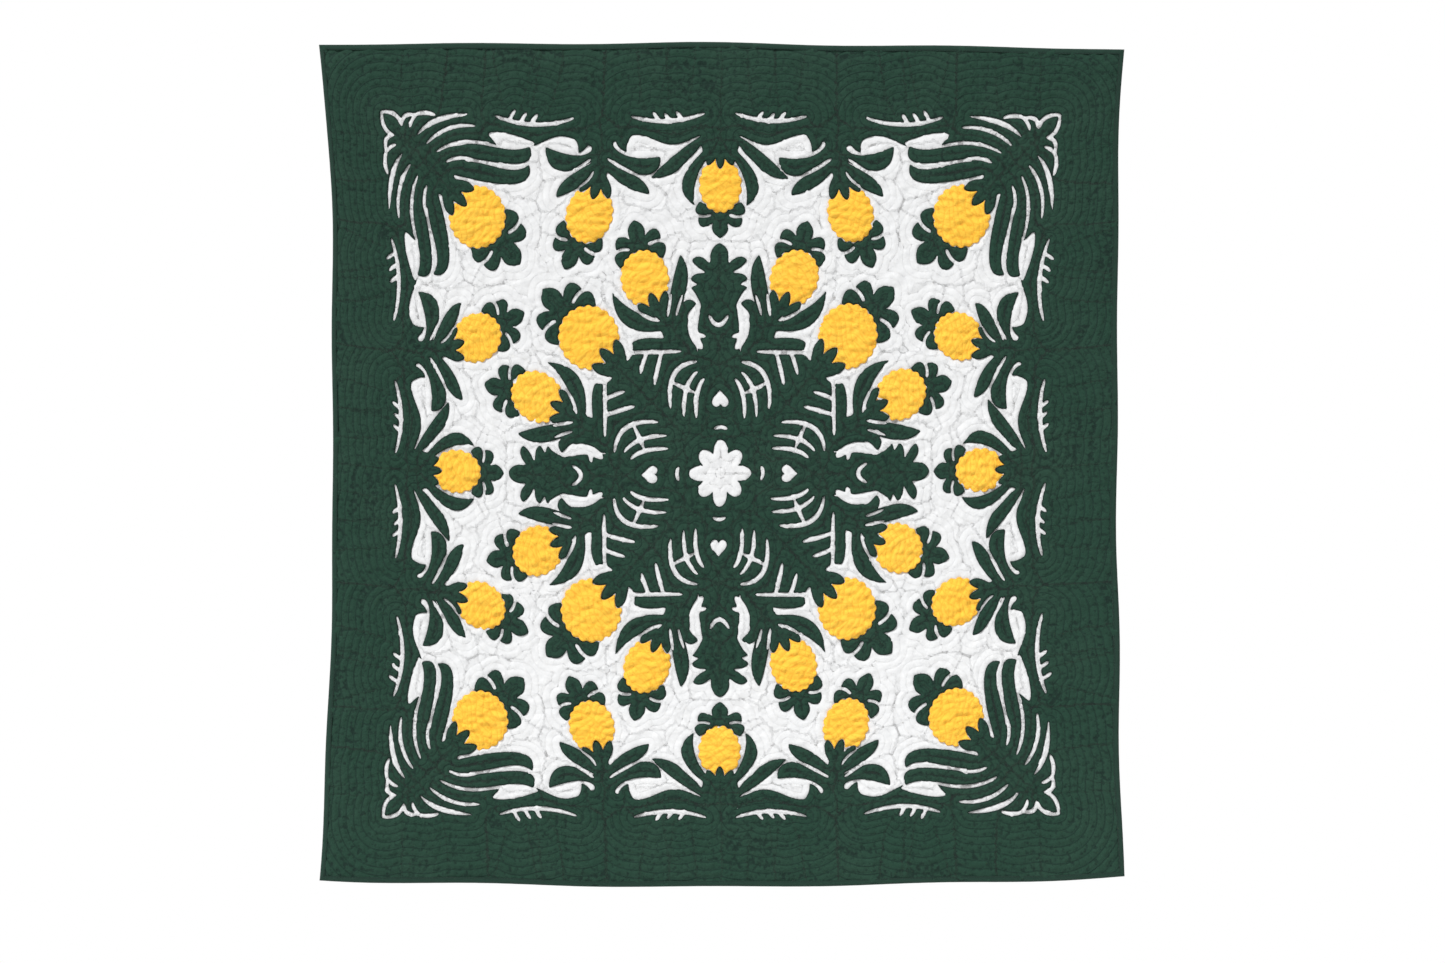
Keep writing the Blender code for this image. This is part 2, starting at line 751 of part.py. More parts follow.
def add_frame(finish, places):
    """The border cloth, with fronds, leaves and slits cut along its inner edge."""
    layers = [(edge_ring(BODY_INSET, EDGE_STEPS), True), (field_outline(), False)]
    for shape in (CORNER_SHOULDER, leaf_outline(CORNER_STEM)):
        layers += [(points, True) for points in diagonal(shape)]
    for leaf in FRAME_LEAVES:
        layers += [(points, True) for points in copies(leaf_outline(leaf))]
    for slit in FRAME_SLITS:
        layers += [(points, False) for points in copies(slit_outline(slit))]
    outlines = cut_with_fruits(layers, places, "frame")
    rings = []
    for line in range(2 * ECHO_LINES):
        rise = ECHO_RISE * min(1.0, line / ECHO_LINES) if line % 2 else 0.0
        rings.append(with_levels(echo_ring(line), rise, cloth_front))
    spots = clear_points(spine_points((*FRAME_LEAVES, CORNER_STEM)), outlines, PUFF, cloth_front)
    back_rings = [with_levels(edge_ring(RAMP, EDGE_STEPS), 0.0, cloth_back)]
    return add_solid(
        "green_frame", finish, outlines, Side(cloth_front, spots, rings), Side(cloth_back, [], back_rings)
    )


def cut_with_fruits(layers, places, start):
    """The outlines of a green cloth, cut round the fruits that grow from it and lapped by its lobes."""
    near = [place for place in places if place.name.startswith(start)]
    layers = layers + [(fruit_outline(place, SEAM_GAP), False) for place in near]
    for place in near:
        layers += [(points, True) for points in calyx_outlines(place)]
    return cut_cloth(layers)


def add_centre(finish, places):
    """The centrepiece, cut from one cloth folded three times."""
    layers = [(super_ring(HUB_HALF, HUB_POWER, HUB_POINTS), True)]
    for leaf in (AXIAL_TRUNK, AXIAL_FRUIT, AXIAL_TOP):
        layers += [(points, True) for points in axial(leaf_outline(leaf))]
    for leaf in (*AXIAL_LOBES, *CENTRE_LEAVES):
        layers += [(points, True) for points in copies(leaf_outline(leaf))]
    for slit in CENTRE_SLITS:
        layers += [(points, False) for points in copies(slit_outline(slit))]
    heart = [(x, z + HEART_Z) for x, z in HEART]
    for points in (heart, slit_outline(AXIAL_SMILE), slit_outline(ARC_CUT)):
        layers += [(copy, False) for copy in axial(points)]
    layers.append((star_outline(), False))
    outlines = cut_with_fruits(layers, places, "centre")
    spots = clear_points(spine_points((*CENTRE_LEAVES, AXIAL_FRUIT)), outlines, PUFF, cloth_front)
    for i, half in enumerate(HUB_RINGS):
        ring = super_ring(half, GROUND_POWER_INNER, 8 * round(half / HUB_STEP))
        spots += clear_points(ring, outlines, PUFF * (i % 2), cloth_front)
    back = clear_points(grid_points(HUB_HALF, BACK_STEP), outlines, 0.0, cloth_back)
    return add_solid(
        "centrepiece", finish, outlines, Side(cloth_front, spots, []), Side(cloth_back, back, [])
    )


def add_fruit(place, finish):
    """A pineapple's fruit, padded up in the middle and cut back round the lobes that lap it."""
    kind = FRUITS[place.kind]
    layers = [(fruit_outline(place), True)]
    layers += [(points, False) for points in calyx_outlines(place, SEAM_GAP)]
    outlines = cut_cloth(layers)
    ring = turned(
        ring_outline(kind.across * FRUIT_RING, kind.along * FRUIT_RING, FRUIT_RING_POINTS), place
    )
    spots = clear_points(ring, outlines, FRUIT_RING_PUFF, cloth_front)
    spots += clear_points([(place.x, place.z)], outlines, FRUIT_PUFF, cloth_front)
    return add_solid(
        f"fruit_{place.name}", finish, outlines, Side(cloth_front, spots, []), Side(cloth_back, [], [])
    )


def add_crown(place, finish):
    """A pineapple's leafy crown, cut round the end of its fruit."""
    layers = [(points, True) for points in crown_outlines(place)]
    layers.append((fruit_outline(place, SEAM_GAP), False))
    outlines = cut_cloth(layers)
    kind = FRUITS[place.kind]
    upright = place._replace(heading=place.crown)
    middle = turned([(0.0, CROWN_SPOT)], upright, kind.crown, kind.along - CROWN_SINK)
    spots = clear_points(middle, outlines, PUFF, cloth_front)
    return add_solid(
        f"crown_{place.name}", finish, outlines, Side(cloth_front, spots, []), Side(cloth_back, [], [])
    )


for leftover in list(bpy.data.objects):
    bpy.data.objects.remove(leftover, do_unlink=True)
collection = bpy.data.collections.new(PART_NAME)
bpy.context.scene.collection.children.link(collection)
green = add_finish("green_cloth", GREEN)
deep_green = add_finish("binding_cloth", DEEP_GREEN)
yellow = add_finish("yellow_cloth", YELLOW)
white = add_finish("white_cloth", WHITE)
pineapples = all_places()
add_body(white)
add_binding(deep_green)
add_frame(green, pineapples)
add_centre(green, pineapples)
for pineapple in pineapples:
    add_fruit(pineapple, yellow)
    add_crown(pineapple, green)
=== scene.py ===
"""Looks of a quilted wall hanging: white ground, green cut-out cloth, yellow pineapples, binding.

The pattern is in millimetres on a square cloth about its middle, X right and Z up, and levels are
in millimetres in front of the back of the quilt. Placed meshes are in metres.
"""

import logging
import math
from collections.abc import Sequence
from dataclasses import dataclass, field, replace
from enum import Enum

import bpy
import numpy as np
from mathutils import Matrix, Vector
from mathutils.geometry import delaunay_2d_cdt
from mathutils.kdtree import KDTree


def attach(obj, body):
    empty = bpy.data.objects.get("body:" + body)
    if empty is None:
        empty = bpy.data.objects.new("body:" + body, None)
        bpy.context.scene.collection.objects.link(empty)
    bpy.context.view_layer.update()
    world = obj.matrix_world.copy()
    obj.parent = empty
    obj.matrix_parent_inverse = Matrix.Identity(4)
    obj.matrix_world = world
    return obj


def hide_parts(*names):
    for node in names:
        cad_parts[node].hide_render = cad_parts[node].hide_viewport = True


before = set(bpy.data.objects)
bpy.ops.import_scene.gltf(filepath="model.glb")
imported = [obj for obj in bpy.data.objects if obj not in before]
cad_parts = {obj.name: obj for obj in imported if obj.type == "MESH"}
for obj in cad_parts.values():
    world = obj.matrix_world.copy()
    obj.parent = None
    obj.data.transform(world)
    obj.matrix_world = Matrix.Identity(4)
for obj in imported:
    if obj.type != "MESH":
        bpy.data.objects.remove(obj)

log = logging.getLogger("quilt")

MM = 0.001
HEX = math.sqrt(3) / 2

# The hung cloth, the same as the solid part's.
HALF_CLOTH = 577.0
BODY_INSET = 1.3
BODY_EDGE = 3.6
BODY_FACE = 6.0
RAMP = 20.0
APART = 0.3
CLOTH_THICK = 1.0

# The gap cut round a fruit and its lobes, and how finely outlines are drawn.
SEAM_GAP = 0.4
EDGE_STEPS = 230
FINE_STEP = 1.5
LEAST_POINTS = 9
CIRCLE = 2.0

# The step of a fruit's slanting stitch lines. The least share of its flat size that a cloth's
# area is declared as.
NET_PITCH = 11.5

Point = tuple[float, float]
Colour = tuple[float, float, float]


@dataclass(frozen=True)
class Ripple:
    """A soft wave over the cloth.

    Its lengths across and up are in millimetres a radian, and its start is in radians.
    """

    height: float
    across: float
    up: float
    start: float = 0.0

    def at(self, x: np.ndarray, z: np.ndarray) -> np.ndarray:
        """The wave's height at these places."""
        return self.height * np.sin(x / self.across + z / self.up + self.start)


@dataclass(frozen=True)
class Hanging:
    """How the square cloth is drawn in, let down and off the wall when it hangs.

    Lengths are in millimetres, and the shares are of the square cloth's size. A drift holds the
    weights of the terms that place adds up, which shift the pattern but not the cloth's edge.
    """

    drawn_in: float = 0.977
    let_down: float = 1.008
    pull_left: float = 19.0
    pull_right: float = 9.0
    bend_top: float = 4.3
    bend_foot: float = 2.4
    top_lift: float = 5.6
    top_tilt: float = 3.5
    bottom_sag: float = 12.6
    bottom_tilt: float = 2.1
    billow: float = 4.0
    billow_wave: float = 900.0
    billow_turn: float = 0.8
    edge_curl: float = 3.0
    mount_level: float = 2.45
    drift_x: tuple[float, ...] = (-2.8, 15.8, -52.4, 13.5, -12.7)
    drift_z: tuple[float, ...] = (-12.8, 4.1, 21.1, 13.2, -41.3, -44.0)
    waver_across: tuple[Ripple, ...] = (
        Ripple(1.0, math.inf, 47.0, 0.6),
        Ripple(0.7, 39.0, -71.0, 2.1),
    )
    waver_up: tuple[Ripple, ...] = (
        Ripple(1.0, 53.0, math.inf, 1.9),
        Ripple(0.7, 83.0, 41.0, 0.4),
    )

    def place(self, points: np.ndarray, level: np.ndarray) -> np.ndarray:
        """Where points of the square cloth lie on the hung quilt.

        Args:
            points: Pattern positions, one (x, z) a row, in millimetres.
            level: How far each lies in front of the quilt's back, in millimetres.

        Returns:
            One (x, y, z) a row, in metres.
        """
        x, z = (points + self.wavered(points)).T
        u, v = x / HALF_CLOTH, z / HALF_CLOTH
        pull = np.where(u < 0, self.pull_left, self.pull_right)
        bend = np.where(v > 0, self.bend_top, self.bend_foot)
        drawn = x * self.drawn_in - np.sign(u) * pull * u * u * (1 - np.abs(v) ** bend)
        top = self.top_lift * (1 - u * u) - self.top_tilt * u
        foot = self.bottom_tilt * u - self.bottom_sag * (1 - u * u)
        down = z * self.let_down + (1 + v) / 2 * top + (1 - v) / 2 * foot
        within = (1 - u**4) * (1 - v**4)
        one = np.ones_like(u)
        drawn += within * (np.array(self.drift_x) @ np.stack([one, u, u**3, u * v, u * u]))
        down += within * (np.array(self.drift_z) @ np.stack([one, u, v, v * v, v**3, u * u * v]))
        low = (1 - v) / 2
        off = self.billow * low * np.sin(2 * math.pi * x / self.billow_wave + self.billow_turn * v)
        off += self.edge_curl * low**3 * (1 + u * u) / 2
        reach = HALF_CLOTH * self.let_down + self.top_lift
        return np.stack([drawn, self.mount_level - level - off, down - reach], axis=1) * MM

    def wavered(self, points: np.ndarray) -> np.ndarray:
        """The small shifts of hand sewing, so that no mirror image is exact."""
        ways = (self.waver_across, self.waver_up)
        return np.stack([sum(ripple.at(*points.T) for ripple in way) for way in ways], axis=1)


HUNG = Hanging()


def body_level(points: np.ndarray) -> np.ndarray:
    """The level of the padded body's face, which is pressed thinner towards its edge."""
    inset = HALF_CLOTH - np.abs(points).max(axis=1)
    return BODY_EDGE + (BODY_FACE - BODY_EDGE) * np.clip(inset / RAMP, 0, 1)


@dataclass(frozen=True)
class Crumple:
    """Small soft waves all over the cloth, as hand quilting and washing leave them."""

    seed: int = 7
    waves: int = 14
    shortest: float = 11.0
    longest: float = 46.0
    height: float = 0.16
    flatter: float = 1.0

    def at(self, points: np.ndarray) -> np.ndarray:
        """The height of the waves at pattern points, in millimetres.

        Args:
            points: Pattern positions, one (x, z) a row, in millimetres.

        Returns:
            One height a point.
        """
        rng = np.random.default_rng(self.seed)
        total = np.zeros(len(points))
        for length in np.geomspace(self.shortest, self.longest, self.waves):
            heading = rng.uniform(0, math.pi)
            way = np.array([math.cos(heading) / self.flatter, math.sin(heading)])
            total += np.sin(points @ (way * 2 * math.pi / length) + rng.uniform(0, 2 * math.pi))
        return total * self.height


@dataclass(frozen=True)
class Quilting:
    """Rows of running stitches that echo the sewn edges at an even distance."""

    pitch: float = 10.2
    height: float = 1.5
    roundness: float = 0.62
    middle: float = 0.5
    drift: float = 0.55
    drifts: tuple[Ripple, ...] = (Ripple(1.0, 31.0, 57.0), Ripple(1.0, -43.0, 27.0, 1.3))

    def rise(self, distance: np.ndarray) -> np.ndarray:
        """The padding's height at a distance from the sewn edge, level on average."""
        wave = np.abs(np.sin(math.pi * distance / self.pitch)) ** self.roundness
        return self.height * (wave - self.middle)

    def drifted(self, points: np.ndarray, distance: np.ndarray) -> np.ndarray:
        """The distance with the slight drift of lines sewn by eye."""
        drift = sum(ripple.at(*points.T) for ripple in self.drifts)
        return distance + self.drift * drift * np.clip(distance / self.pitch, 0, 1)


ECHO = Quilting()


def shares(guides: Sequence[Point], step: float) -> np.ndarray:
    """Even shares of the way along a curve, one for about each step of its guide points' route."""
    length = sum(math.dist(a, b) for a, b in zip(guides, guides[1:]))
    return np.linspace(0, 1, max(LEAST_POINTS, round(length / step)))[:, None]


def curve(
    root: Point, bend: Point, tip: Point, step: float
) -> tuple[np.ndarray, np.ndarray, np.ndarray]:
    """Points along a quadratic curve.

    Args:
        root: Where it starts.
        bend: The point that it bends towards.
        tip: Where it ends.
        step: About how far apart its points are, in millimetres.

    Returns:
        The shares of the way, the points, and the unit normals to the left.
    """
    t = shares((root, bend, tip), step)
    a, b, c = (np.array(p, float) for p in (root, bend, tip))
    line = (1 - t) ** 2 * a + 2 * t * (1 - t) * b + t * t * c
    ahead = (1 - t) * (b - a) + t * (c - b)
    ahead /= np.maximum(np.linalg.norm(ahead, axis=1, keepdims=True), 1e-9)
    return t[:, 0], line, np.stack([-ahead[:, 1], ahead[:, 0]], axis=1)


@dataclass(frozen=True)
class Leaf:
    """A leaf on a bent spine, with its width to the left and right of the spine."""

    root: Point
    bend: Point
    tip: Point
    left: float
    right: float
    peak: float = 0.5
    blunt: bool = False
    neck: float = 0.6
    fullness: float = 0.6
    lopsided: float = 0.22

    def share(self, t: np.ndarray, fullness: float) -> np.ndarray:
        """The width as a share of the widest, at t along the leaf.

        Args:
            t: Shares of the way along the leaf.
            fullness: The power that shapes its tip, less for a fuller one.

        Returns:
            One share of the width for each t.
        """
        before = self.neck + (1 - self.neck) * np.sin(math.pi / 2 * np.minimum(t / self.peak, 1))
        past = np.clip((t - self.peak) / (1 - self.peak), 0, 1)
        after = np.sqrt(1 - past**2) if self.blunt else np.cos(math.pi / 2 * past) ** fullness
        return np.where(t < self.peak, before, after)

    def outline(self, grow: float = 0.0, step: float = 3.0) -> np.ndarray:
        """The closed outline, made wider by grow on each side.

        Args:
            grow: How much wider it is made on each side, in millimetres.
            step: About how far apart its points are, in millimetres.

        Returns:
            The closed outline.
        """
        t, line, normal = curve(self.root, self.bend, self.tip, step)
        fuller = self.lopsided * np.sign(self.left - self.right)
        one = self.left * self.share(t, self.fullness - fuller) + grow
        other = self.right * self.share(t, self.fullness + fuller) + grow
        sides = [line + normal * one[:, None], (line - normal * other[:, None])[::-1]]
        return without_doubles(np.concatenate(sides))


@dataclass(frozen=True)
class Blade:
    """A leaf or a cut drawn by its two edges, smooth curves that meet at its tip."""

    near: tuple[Point, ...]
    far: tuple[Point, ...]

    def outline(self, step: float = 3.0) -> np.ndarray:
        """The closed outline, up one edge and down the other.

        Args:
            step: About how far apart its points are, in millimetres.

        Returns:
            The closed outline.
        """
        edges = []
        for guides in (self.near, self.far):
            t = shares(guides, step)
            last = len(guides) - 1
            weights = [math.comb(last, i) * t**i * (1 - t) ** (last - i) for i in range(last + 1)]
            edges.append(sum(weight * np.array(guide, float) for weight, guide in zip(weights, guides)))
        return without_doubles(np.concatenate([edges[0], edges[1][::-1]]))


@dataclass(frozen=True)
class Slit:
    """A thin tapered cut on a bent spine."""

    root: Point
    bend: Point
    tip: Point
    width: float = 6.0
    fullness: float = 0.35

    def outline(self, step: float = 3.0) -> np.ndarray:
        """The closed outline, pointed at both ends.

        Args:
            step: About how far apart its points are, in millimetres.

        Returns:
            The closed outline.
        """
        t, line, normal = curve(self.root, self.bend, self.tip, step)
        half = (self.width / 2 * np.maximum(np.sin(math.pi * t), 0) ** self.fullness)[:, None]
        return without_doubles(np.concatenate([line + normal * half, (line - normal * half)[::-1]]))


def unit(heading: float) -> np.ndarray:
    """The unit way of a heading, which counts clockwise from straight up in degrees."""
    return np.array([math.sin(math.radians(heading)), math.cos(math.radians(heading))])


def without_doubles(outline: np.ndarray, least: float = 0.05) -> np.ndarray:
    """The outline without points that lie on the one before them."""
    gap = np.linalg.norm(outline - np.roll(outline, 1, axis=0), axis=1)
    return outline[gap > least]


def copies(points: np.ndarray) -> list[np.ndarray]:
    """An outline and its seven mirror images, as a cloth folded three times is cut."""
    return [
        p * np.array([a, b]) for p in (points, points[:, ::-1]) for a in (1, -1) for b in (1, -1)
    ]


def axial(points: np.ndarray) -> list[np.ndarray]:
    """The four copies of an outline that lies on an axis and is its own mirror image."""
    swapped = points[:, ::-1]
    return [points, points * np.array([1, -1]), swapped, swapped * np.array([-1, 1])]


def diagonal(points: np.ndarray) -> list[np.ndarray]:
    """The four copies of an outline that lies on a diagonal and is its own mirror image."""
    return [points * np.array([a, b]) for a in (1, -1) for b in (1, -1)]


def four_sides(side: np.ndarray) -> np.ndarray:
    """A ring from its lower side and that side's three quarter turns.

    Args:
        side: The lower side's points, from left to right.

    Returns:
        The ring's points, counter-clockwise.
    """
    turns = []
    for _ in range(4):
        turns.append(side)
        side = np.stack([-side[:, 1], side[:, 0]], axis=1)
    return np.concatenate(turns)


def edge_ring(inset: float, steps: int) -> np.ndarray:
    """A square ring this far inside the cloth's edge, counter-clockwise from its lower left.

    Args:
        inset: How far inside the edge it lies, in millimetres.
        steps: How many points each side gets.

    Returns:
        The ring's points.
    """
    half = HALF_CLOTH - inset
    along = np.linspace(-half, half, steps, endpoint=False)
    return four_sides(np.stack([along, np.full(steps, -half)], axis=1))


def super_ring(half: float, power: float, count: int) -> np.ndarray:
    """A ring between a circle and a square, with this half width.

    Args:
        half: Its half width, in millimetres.
        power: 2 for a circle, and more for a squarer ring.
        count: How many points it gets.

    Returns:
        The ring's points.
    """
    angle = np.linspace(0, 2 * math.pi, count, endpoint=False)
    spoke = np.stack([np.cos(angle), np.sin(angle)], axis=1)
    return half * spoke * ((np.abs(spoke) ** power).sum(axis=1) ** (-1 / power))[:, None]


def held(points: np.ndarray, outlines: Sequence[np.ndarray], band: float = 4.0) -> np.ndarray:
    """Whether each point is inside an odd number of closed outlines.

    Args:
        points: One (x, z) a row.
        outlines: The closed outlines.
        band: The height of the strips that points and edges are sorted into.

    Returns:
        One truth value a point.
    """
    start = np.concatenate(outlines)
    end = np.concatenate([np.roll(o, -1, axis=0) for o in outlines])
    low, high = np.minimum(start[:, 1], end[:, 1]), np.maximum(start[:, 1], end[:, 1])
    order = np.argsort(points[:, 1])
    level = points[order, 1]
    found = np.zeros(len(points), bool)
    base = low.min()
    for i in range(int((high.max() - base) // band) + 1):
        foot, top = base + i * band, base + (i + 1) * band
        first, last = np.searchsorted(level, (foot, top))
        if first == last:
            continue
        near = (low < top) & (high >= foot)
        chosen = order[first:last]
        px, pz = points[chosen, 0][:, None], points[chosen, 1][:, None]
        (ax, az), (bx, bz) = start[near].T, end[near].T
        crossed = (az > pz) != (bz > pz)
        rise = np.where(bz == az, 1.0, bz - az)
        found[chosen] = (crossed & (px < (bx - ax) * (pz - az) / rise + ax)).sum(axis=1) % 2 == 1
    return found


def is_sewn(outline: np.ndarray) -> bool:
    """Whether an outline is a sewn edge, as all are but the cloth's own square edge."""
    return bool(np.abs(outline).max() < HALF_CLOTH - 2 * BODY_INSET)


def area_of(outline: np.ndarray) -> float:
    """The area in an outline, positive when it runs counter-clockwise."""
    after = np.roll(outline, -1, axis=0)
    return float((outline[:, 0] * after[:, 1] - after[:, 0] * outline[:, 1]).sum() / 2)


def evened(outline: np.ndarray, step: float, passes: int = 0) -> np.ndarray:
    """The outline with points at an even step, its corners softened by smoothing passes.

    Args:
        outline: The closed outline.
        step: The distance between points, in millimetres.
        passes: How often each point is drawn towards its neighbours.

    Returns:
        The closed outline.
    """
    closed = np.concatenate([outline, outline[:1]])
    run = np.concatenate([[0.0], np.cumsum(np.linalg.norm(np.diff(closed, axis=0), axis=1))])
    count = max(8, round(run[-1] / step))
    at = np.linspace(0, run[-1], count, endpoint=False)
    found = np.stack([np.interp(at, run, closed[:, 0]), np.interp(at, run, closed[:, 1])], axis=1)
    for _ in range(passes):
        found = (np.roll(found, 1, axis=0) + 2 * found + np.roll(found, -1, axis=0)) / 4
    return found


def inward(outline: np.ndarray) -> np.ndarray:
    """The unit normals towards the cloth, which is on the left of its outline.

    Args:
        outline: The closed outline.

    Returns:
        One normal a point.
    """
    ahead = np.roll(outline, -1, axis=0) - np.roll(outline, 1, axis=0)
    ahead /= np.maximum(np.linalg.norm(ahead, axis=1, keepdims=True), 1e-9)
    return np.stack([-ahead[:, 1], ahead[:, 0]], axis=1)


@dataclass
class Cutting:
    """A cloth drawn by laying outlines on and cutting outlines out in turn."""

    step: float = 2.6
    least_piece: float = 60.0
    least_hole: float = 14.0
    layers: list[tuple[np.ndarray, bool]] = field(default_factory=list)

    def lay(self, *outlines: np.ndarray) -> None:
        """Adds the cloth inside these outlines."""
        self.layers += [(outline, True) for outline in outlines]

    def cut(self, *outlines: np.ndarray) -> None:
        """Takes away the cloth inside these outlines."""
        self.layers += [(outline, False) for outline in outlines]

    def outlines(self) -> list[np.ndarray]:
        """The outlines of what is left, with the cloth on their left and corners a little soft.

        Returns:
            The closed outlines.
        """
        points, edges, first = [], [], 0
        for outline, _ in self.layers:
            points += [Vector(p) for p in outline]
            edges += [(first + i, first + (i + 1) % len(outline)) for i in range(len(outline))]
            first = len(points)
        corners, _, faces = delaunay_2d_cdt(points, edges, [], 0, 1e-4)[:3]
        corners, faces = np.array([tuple(c) for c in corners]), np.array(faces)
        middle = corners[faces].mean(axis=1)
        cloth = np.zeros(len(faces), bool)
        for outline, laid in self.layers:
            low, high = outline.min(axis=0), outline.max(axis=0)
            near = np.flatnonzero(((middle > low) & (middle < high)).all(axis=1))
            cloth[near[held(middle[near], [outline])]] = laid
        return [self.softened(o) for o in self.walks(corners, faces[cloth])]

    def walks(self, corners: np.ndarray, faces: np.ndarray) -> list[np.ndarray]:
        """The closed walks round the edges that only one triangle has.

        Args:
            corners: The triangles' points.
            faces: Three point numbers a triangle.

        Returns:
            The walks that hold more than the least piece or hole.
        """
        sides = np.concatenate([faces[:, [0, 1]], faces[:, [1, 2]], faces[:, [2, 0]]])
        count = len(corners)
        open_side = ~np.isin(sides[:, 0] * count + sides[:, 1], sides[:, 1] * count + sides[:, 0])
        ahead: dict[int, list[int]] = {}
        for start, end in sides[open_side].tolist():
            ahead.setdefault(start, []).append(end)
        found = []
        while ahead:
            walk = [min(ahead)]
            while walk[-1] in ahead:
                ways = ahead[walk[-1]]
                step = ways[0] if len(ways) == 1 else self.nearest_way(corners, walk, ways)
                ways.remove(step)
                if not ways:
                    del ahead[walk[-1]]
                walk.append(step)
            outline = corners[walk[:-1]]
            area = area_of(outline) if len(outline) > 2 else 0.0
            if area > self.least_piece or area < -self.least_hole:
                found.append(outline)
        return found

    def nearest_way(self, corners: np.ndarray, walk: list[int], ways: list[int]) -> int:
        """The way on that keeps to the same cloth, where two of its edges touch at a corner.

        Args:
            corners: The triangles' points.
            walk: The numbers of the points walked so far.
            ways: The numbers of the points that can come next.

        Returns:
            One of the ways.
        """
        here = corners[walk[-1]]
        back = corners[walk[-2]] - here if len(walk) > 1 else np.array([1.0, 0.0])

        def turn(way: int) -> float:
            """How far clockwise a way lies from the way back."""
            out = corners[way] - here
            return (math.atan2(back[1], back[0]) - math.atan2(out[1], out[0])) % (2 * math.pi)

        return min(ways, key=turn)

    def softened(self, outline: np.ndarray) -> np.ndarray:
        """An outline with soft corners, or the cloth's own square edge as it is."""
        return evened(outline, self.step, 1) if is_sewn(outline) else outline


class Seams:
    """The sewn edges, for the distance from them and the run along them."""

    def __init__(self, outlines: Sequence[np.ndarray], step: float = 1.3) -> None:
        """Spreads samples along the outlines.

        Args:
            outlines: The closed outlines of the sewn edges.
            step: The distance between samples, in millimetres.
        """
        lines = [evened(outline, step) for outline in outlines]
        self.here = np.concatenate(lines)
        self.after = np.concatenate([np.roll(line, -1, axis=0) for line in lines])
        self.before = np.concatenate([np.roll(line, 1, axis=0) for line in lines])
        self.run = np.concatenate([np.arange(len(line)) * step for line in lines])
        self.tree = KDTree(len(self.here))
        for i, (x, z) in enumerate(self.here.tolist()):
            self.tree.insert((x, z, 0.0), i)
        self.tree.balance()

    def nearest(self, points: np.ndarray) -> tuple[np.ndarray, np.ndarray, np.ndarray]:
        """The distance to the nearest sewn edge, its nearest point, and the run along it there.

        Args:
            points: Pattern positions, one (x, z) a row, in millimetres.

        Returns:
            The distances, the nearest points and the runs, one a point.
        """
        find = self.tree.find
        index = np.array([find((x, z, 0.0))[1] for x, z in points.tolist()], int)
        here = self.here[index]
        best, foot = np.full(len(points), np.inf), here.copy()
        run = self.run[index].copy()
        for other, ahead in ((self.after[index], 1), (self.before[index], -1)):
            side = other - here
            length = np.maximum((side**2).sum(axis=1), 1e-9)
            t = np.clip(((points - here) * side).sum(axis=1) / length, 0, 1)
            spot = here + side * t[:, None]
            gap = np.linalg.norm(points - spot, axis=1)
            nearer = gap < best
            best = np.where(nearer, gap, best)
            foot[nearer] = spot[nearer]
            run = np.where(nearer, self.run[index] + ahead * t * np.sqrt(length), run)
        return best, foot, run

    def snapped(self, points: np.ndarray, step: float) -> np.ndarray:
        """Points moved to even distances from the sewn edges, so that rows lie along the quilting.

        Args:
            points: Pattern positions, one (x, z) a row, in millimetres.
            step: The distance between rows, in millimetres.

        Returns:
            The moved points.
        """
        distance, foot, _ = self.nearest(points)
        drifted = ECHO.drifted(points, distance)
        move = np.round(drifted / step) * step - drifted
        away = (points - foot) / np.maximum(distance, 1e-6)[:, None]
        return points + away * move[:, None]


def hex_points(low: np.ndarray, high: np.ndarray, pitch: float) -> np.ndarray:
    """Points in staggered rows over a rectangle.

    Args:
        low: The rectangle's lower left corner.
        high: Its upper right corner.
        pitch: The distance between points, in millimetres.

    Returns:
        One (x, z) a row.
    """
    rows = []
    for i, z in enumerate(np.arange(low[1], high[1], pitch * HEX)):
        x = np.arange(low[0] + pitch / 2 * (i % 2), high[0], pitch)
        rows.append(np.stack([x, np.full(len(x), z)], axis=1))
    return np.concatenate(rows)


def filled(outlines: Sequence[np.ndarray], spots: np.ndarray) -> tuple[np.ndarray, np.ndarray]:
    """Triangles that fill the outlines and use the inner points.

    Args:
        outlines: The closed outlines, whose points come first.
        spots: Points inside them.

    Returns:
        The points, and three point numbers a triangle.
    """
    edges, first = [], 0
    for outline in outlines:
        edges += [(first + i, first + (i + 1) % len(outline)) for i in range(len(outline))]
        first += len(outline)
    points = np.concatenate([*outlines, spots])
    corners, _, faces = delaunay_2d_cdt([Vector(p) for p in points], edges, [], 0, 1e-5)[:3]
    corners, faces = np.array([tuple(c) for c in corners]), np.array(faces)
    return corners, faces[held(corners[faces].mean(axis=1), outlines)]


@dataclass
class Surface:
    """A mesh in the making: pattern points with levels, triangles, and values for the finishes."""

    points: np.ndarray
    level: np.ndarray
    faces: np.ndarray
    values: dict[str, np.ndarray]

    def build(self, name: str, finish: bpy.types.Material) -> bpy.types.Object:
        """The named object of this surface, hung, smooth and with its finish."""
        uv = (self.points + HALF_CLOTH) / (2 * HALF_CLOTH)
        return built(name, HUNG.place(self.points, self.level), self.faces, uv, self.values, finish)


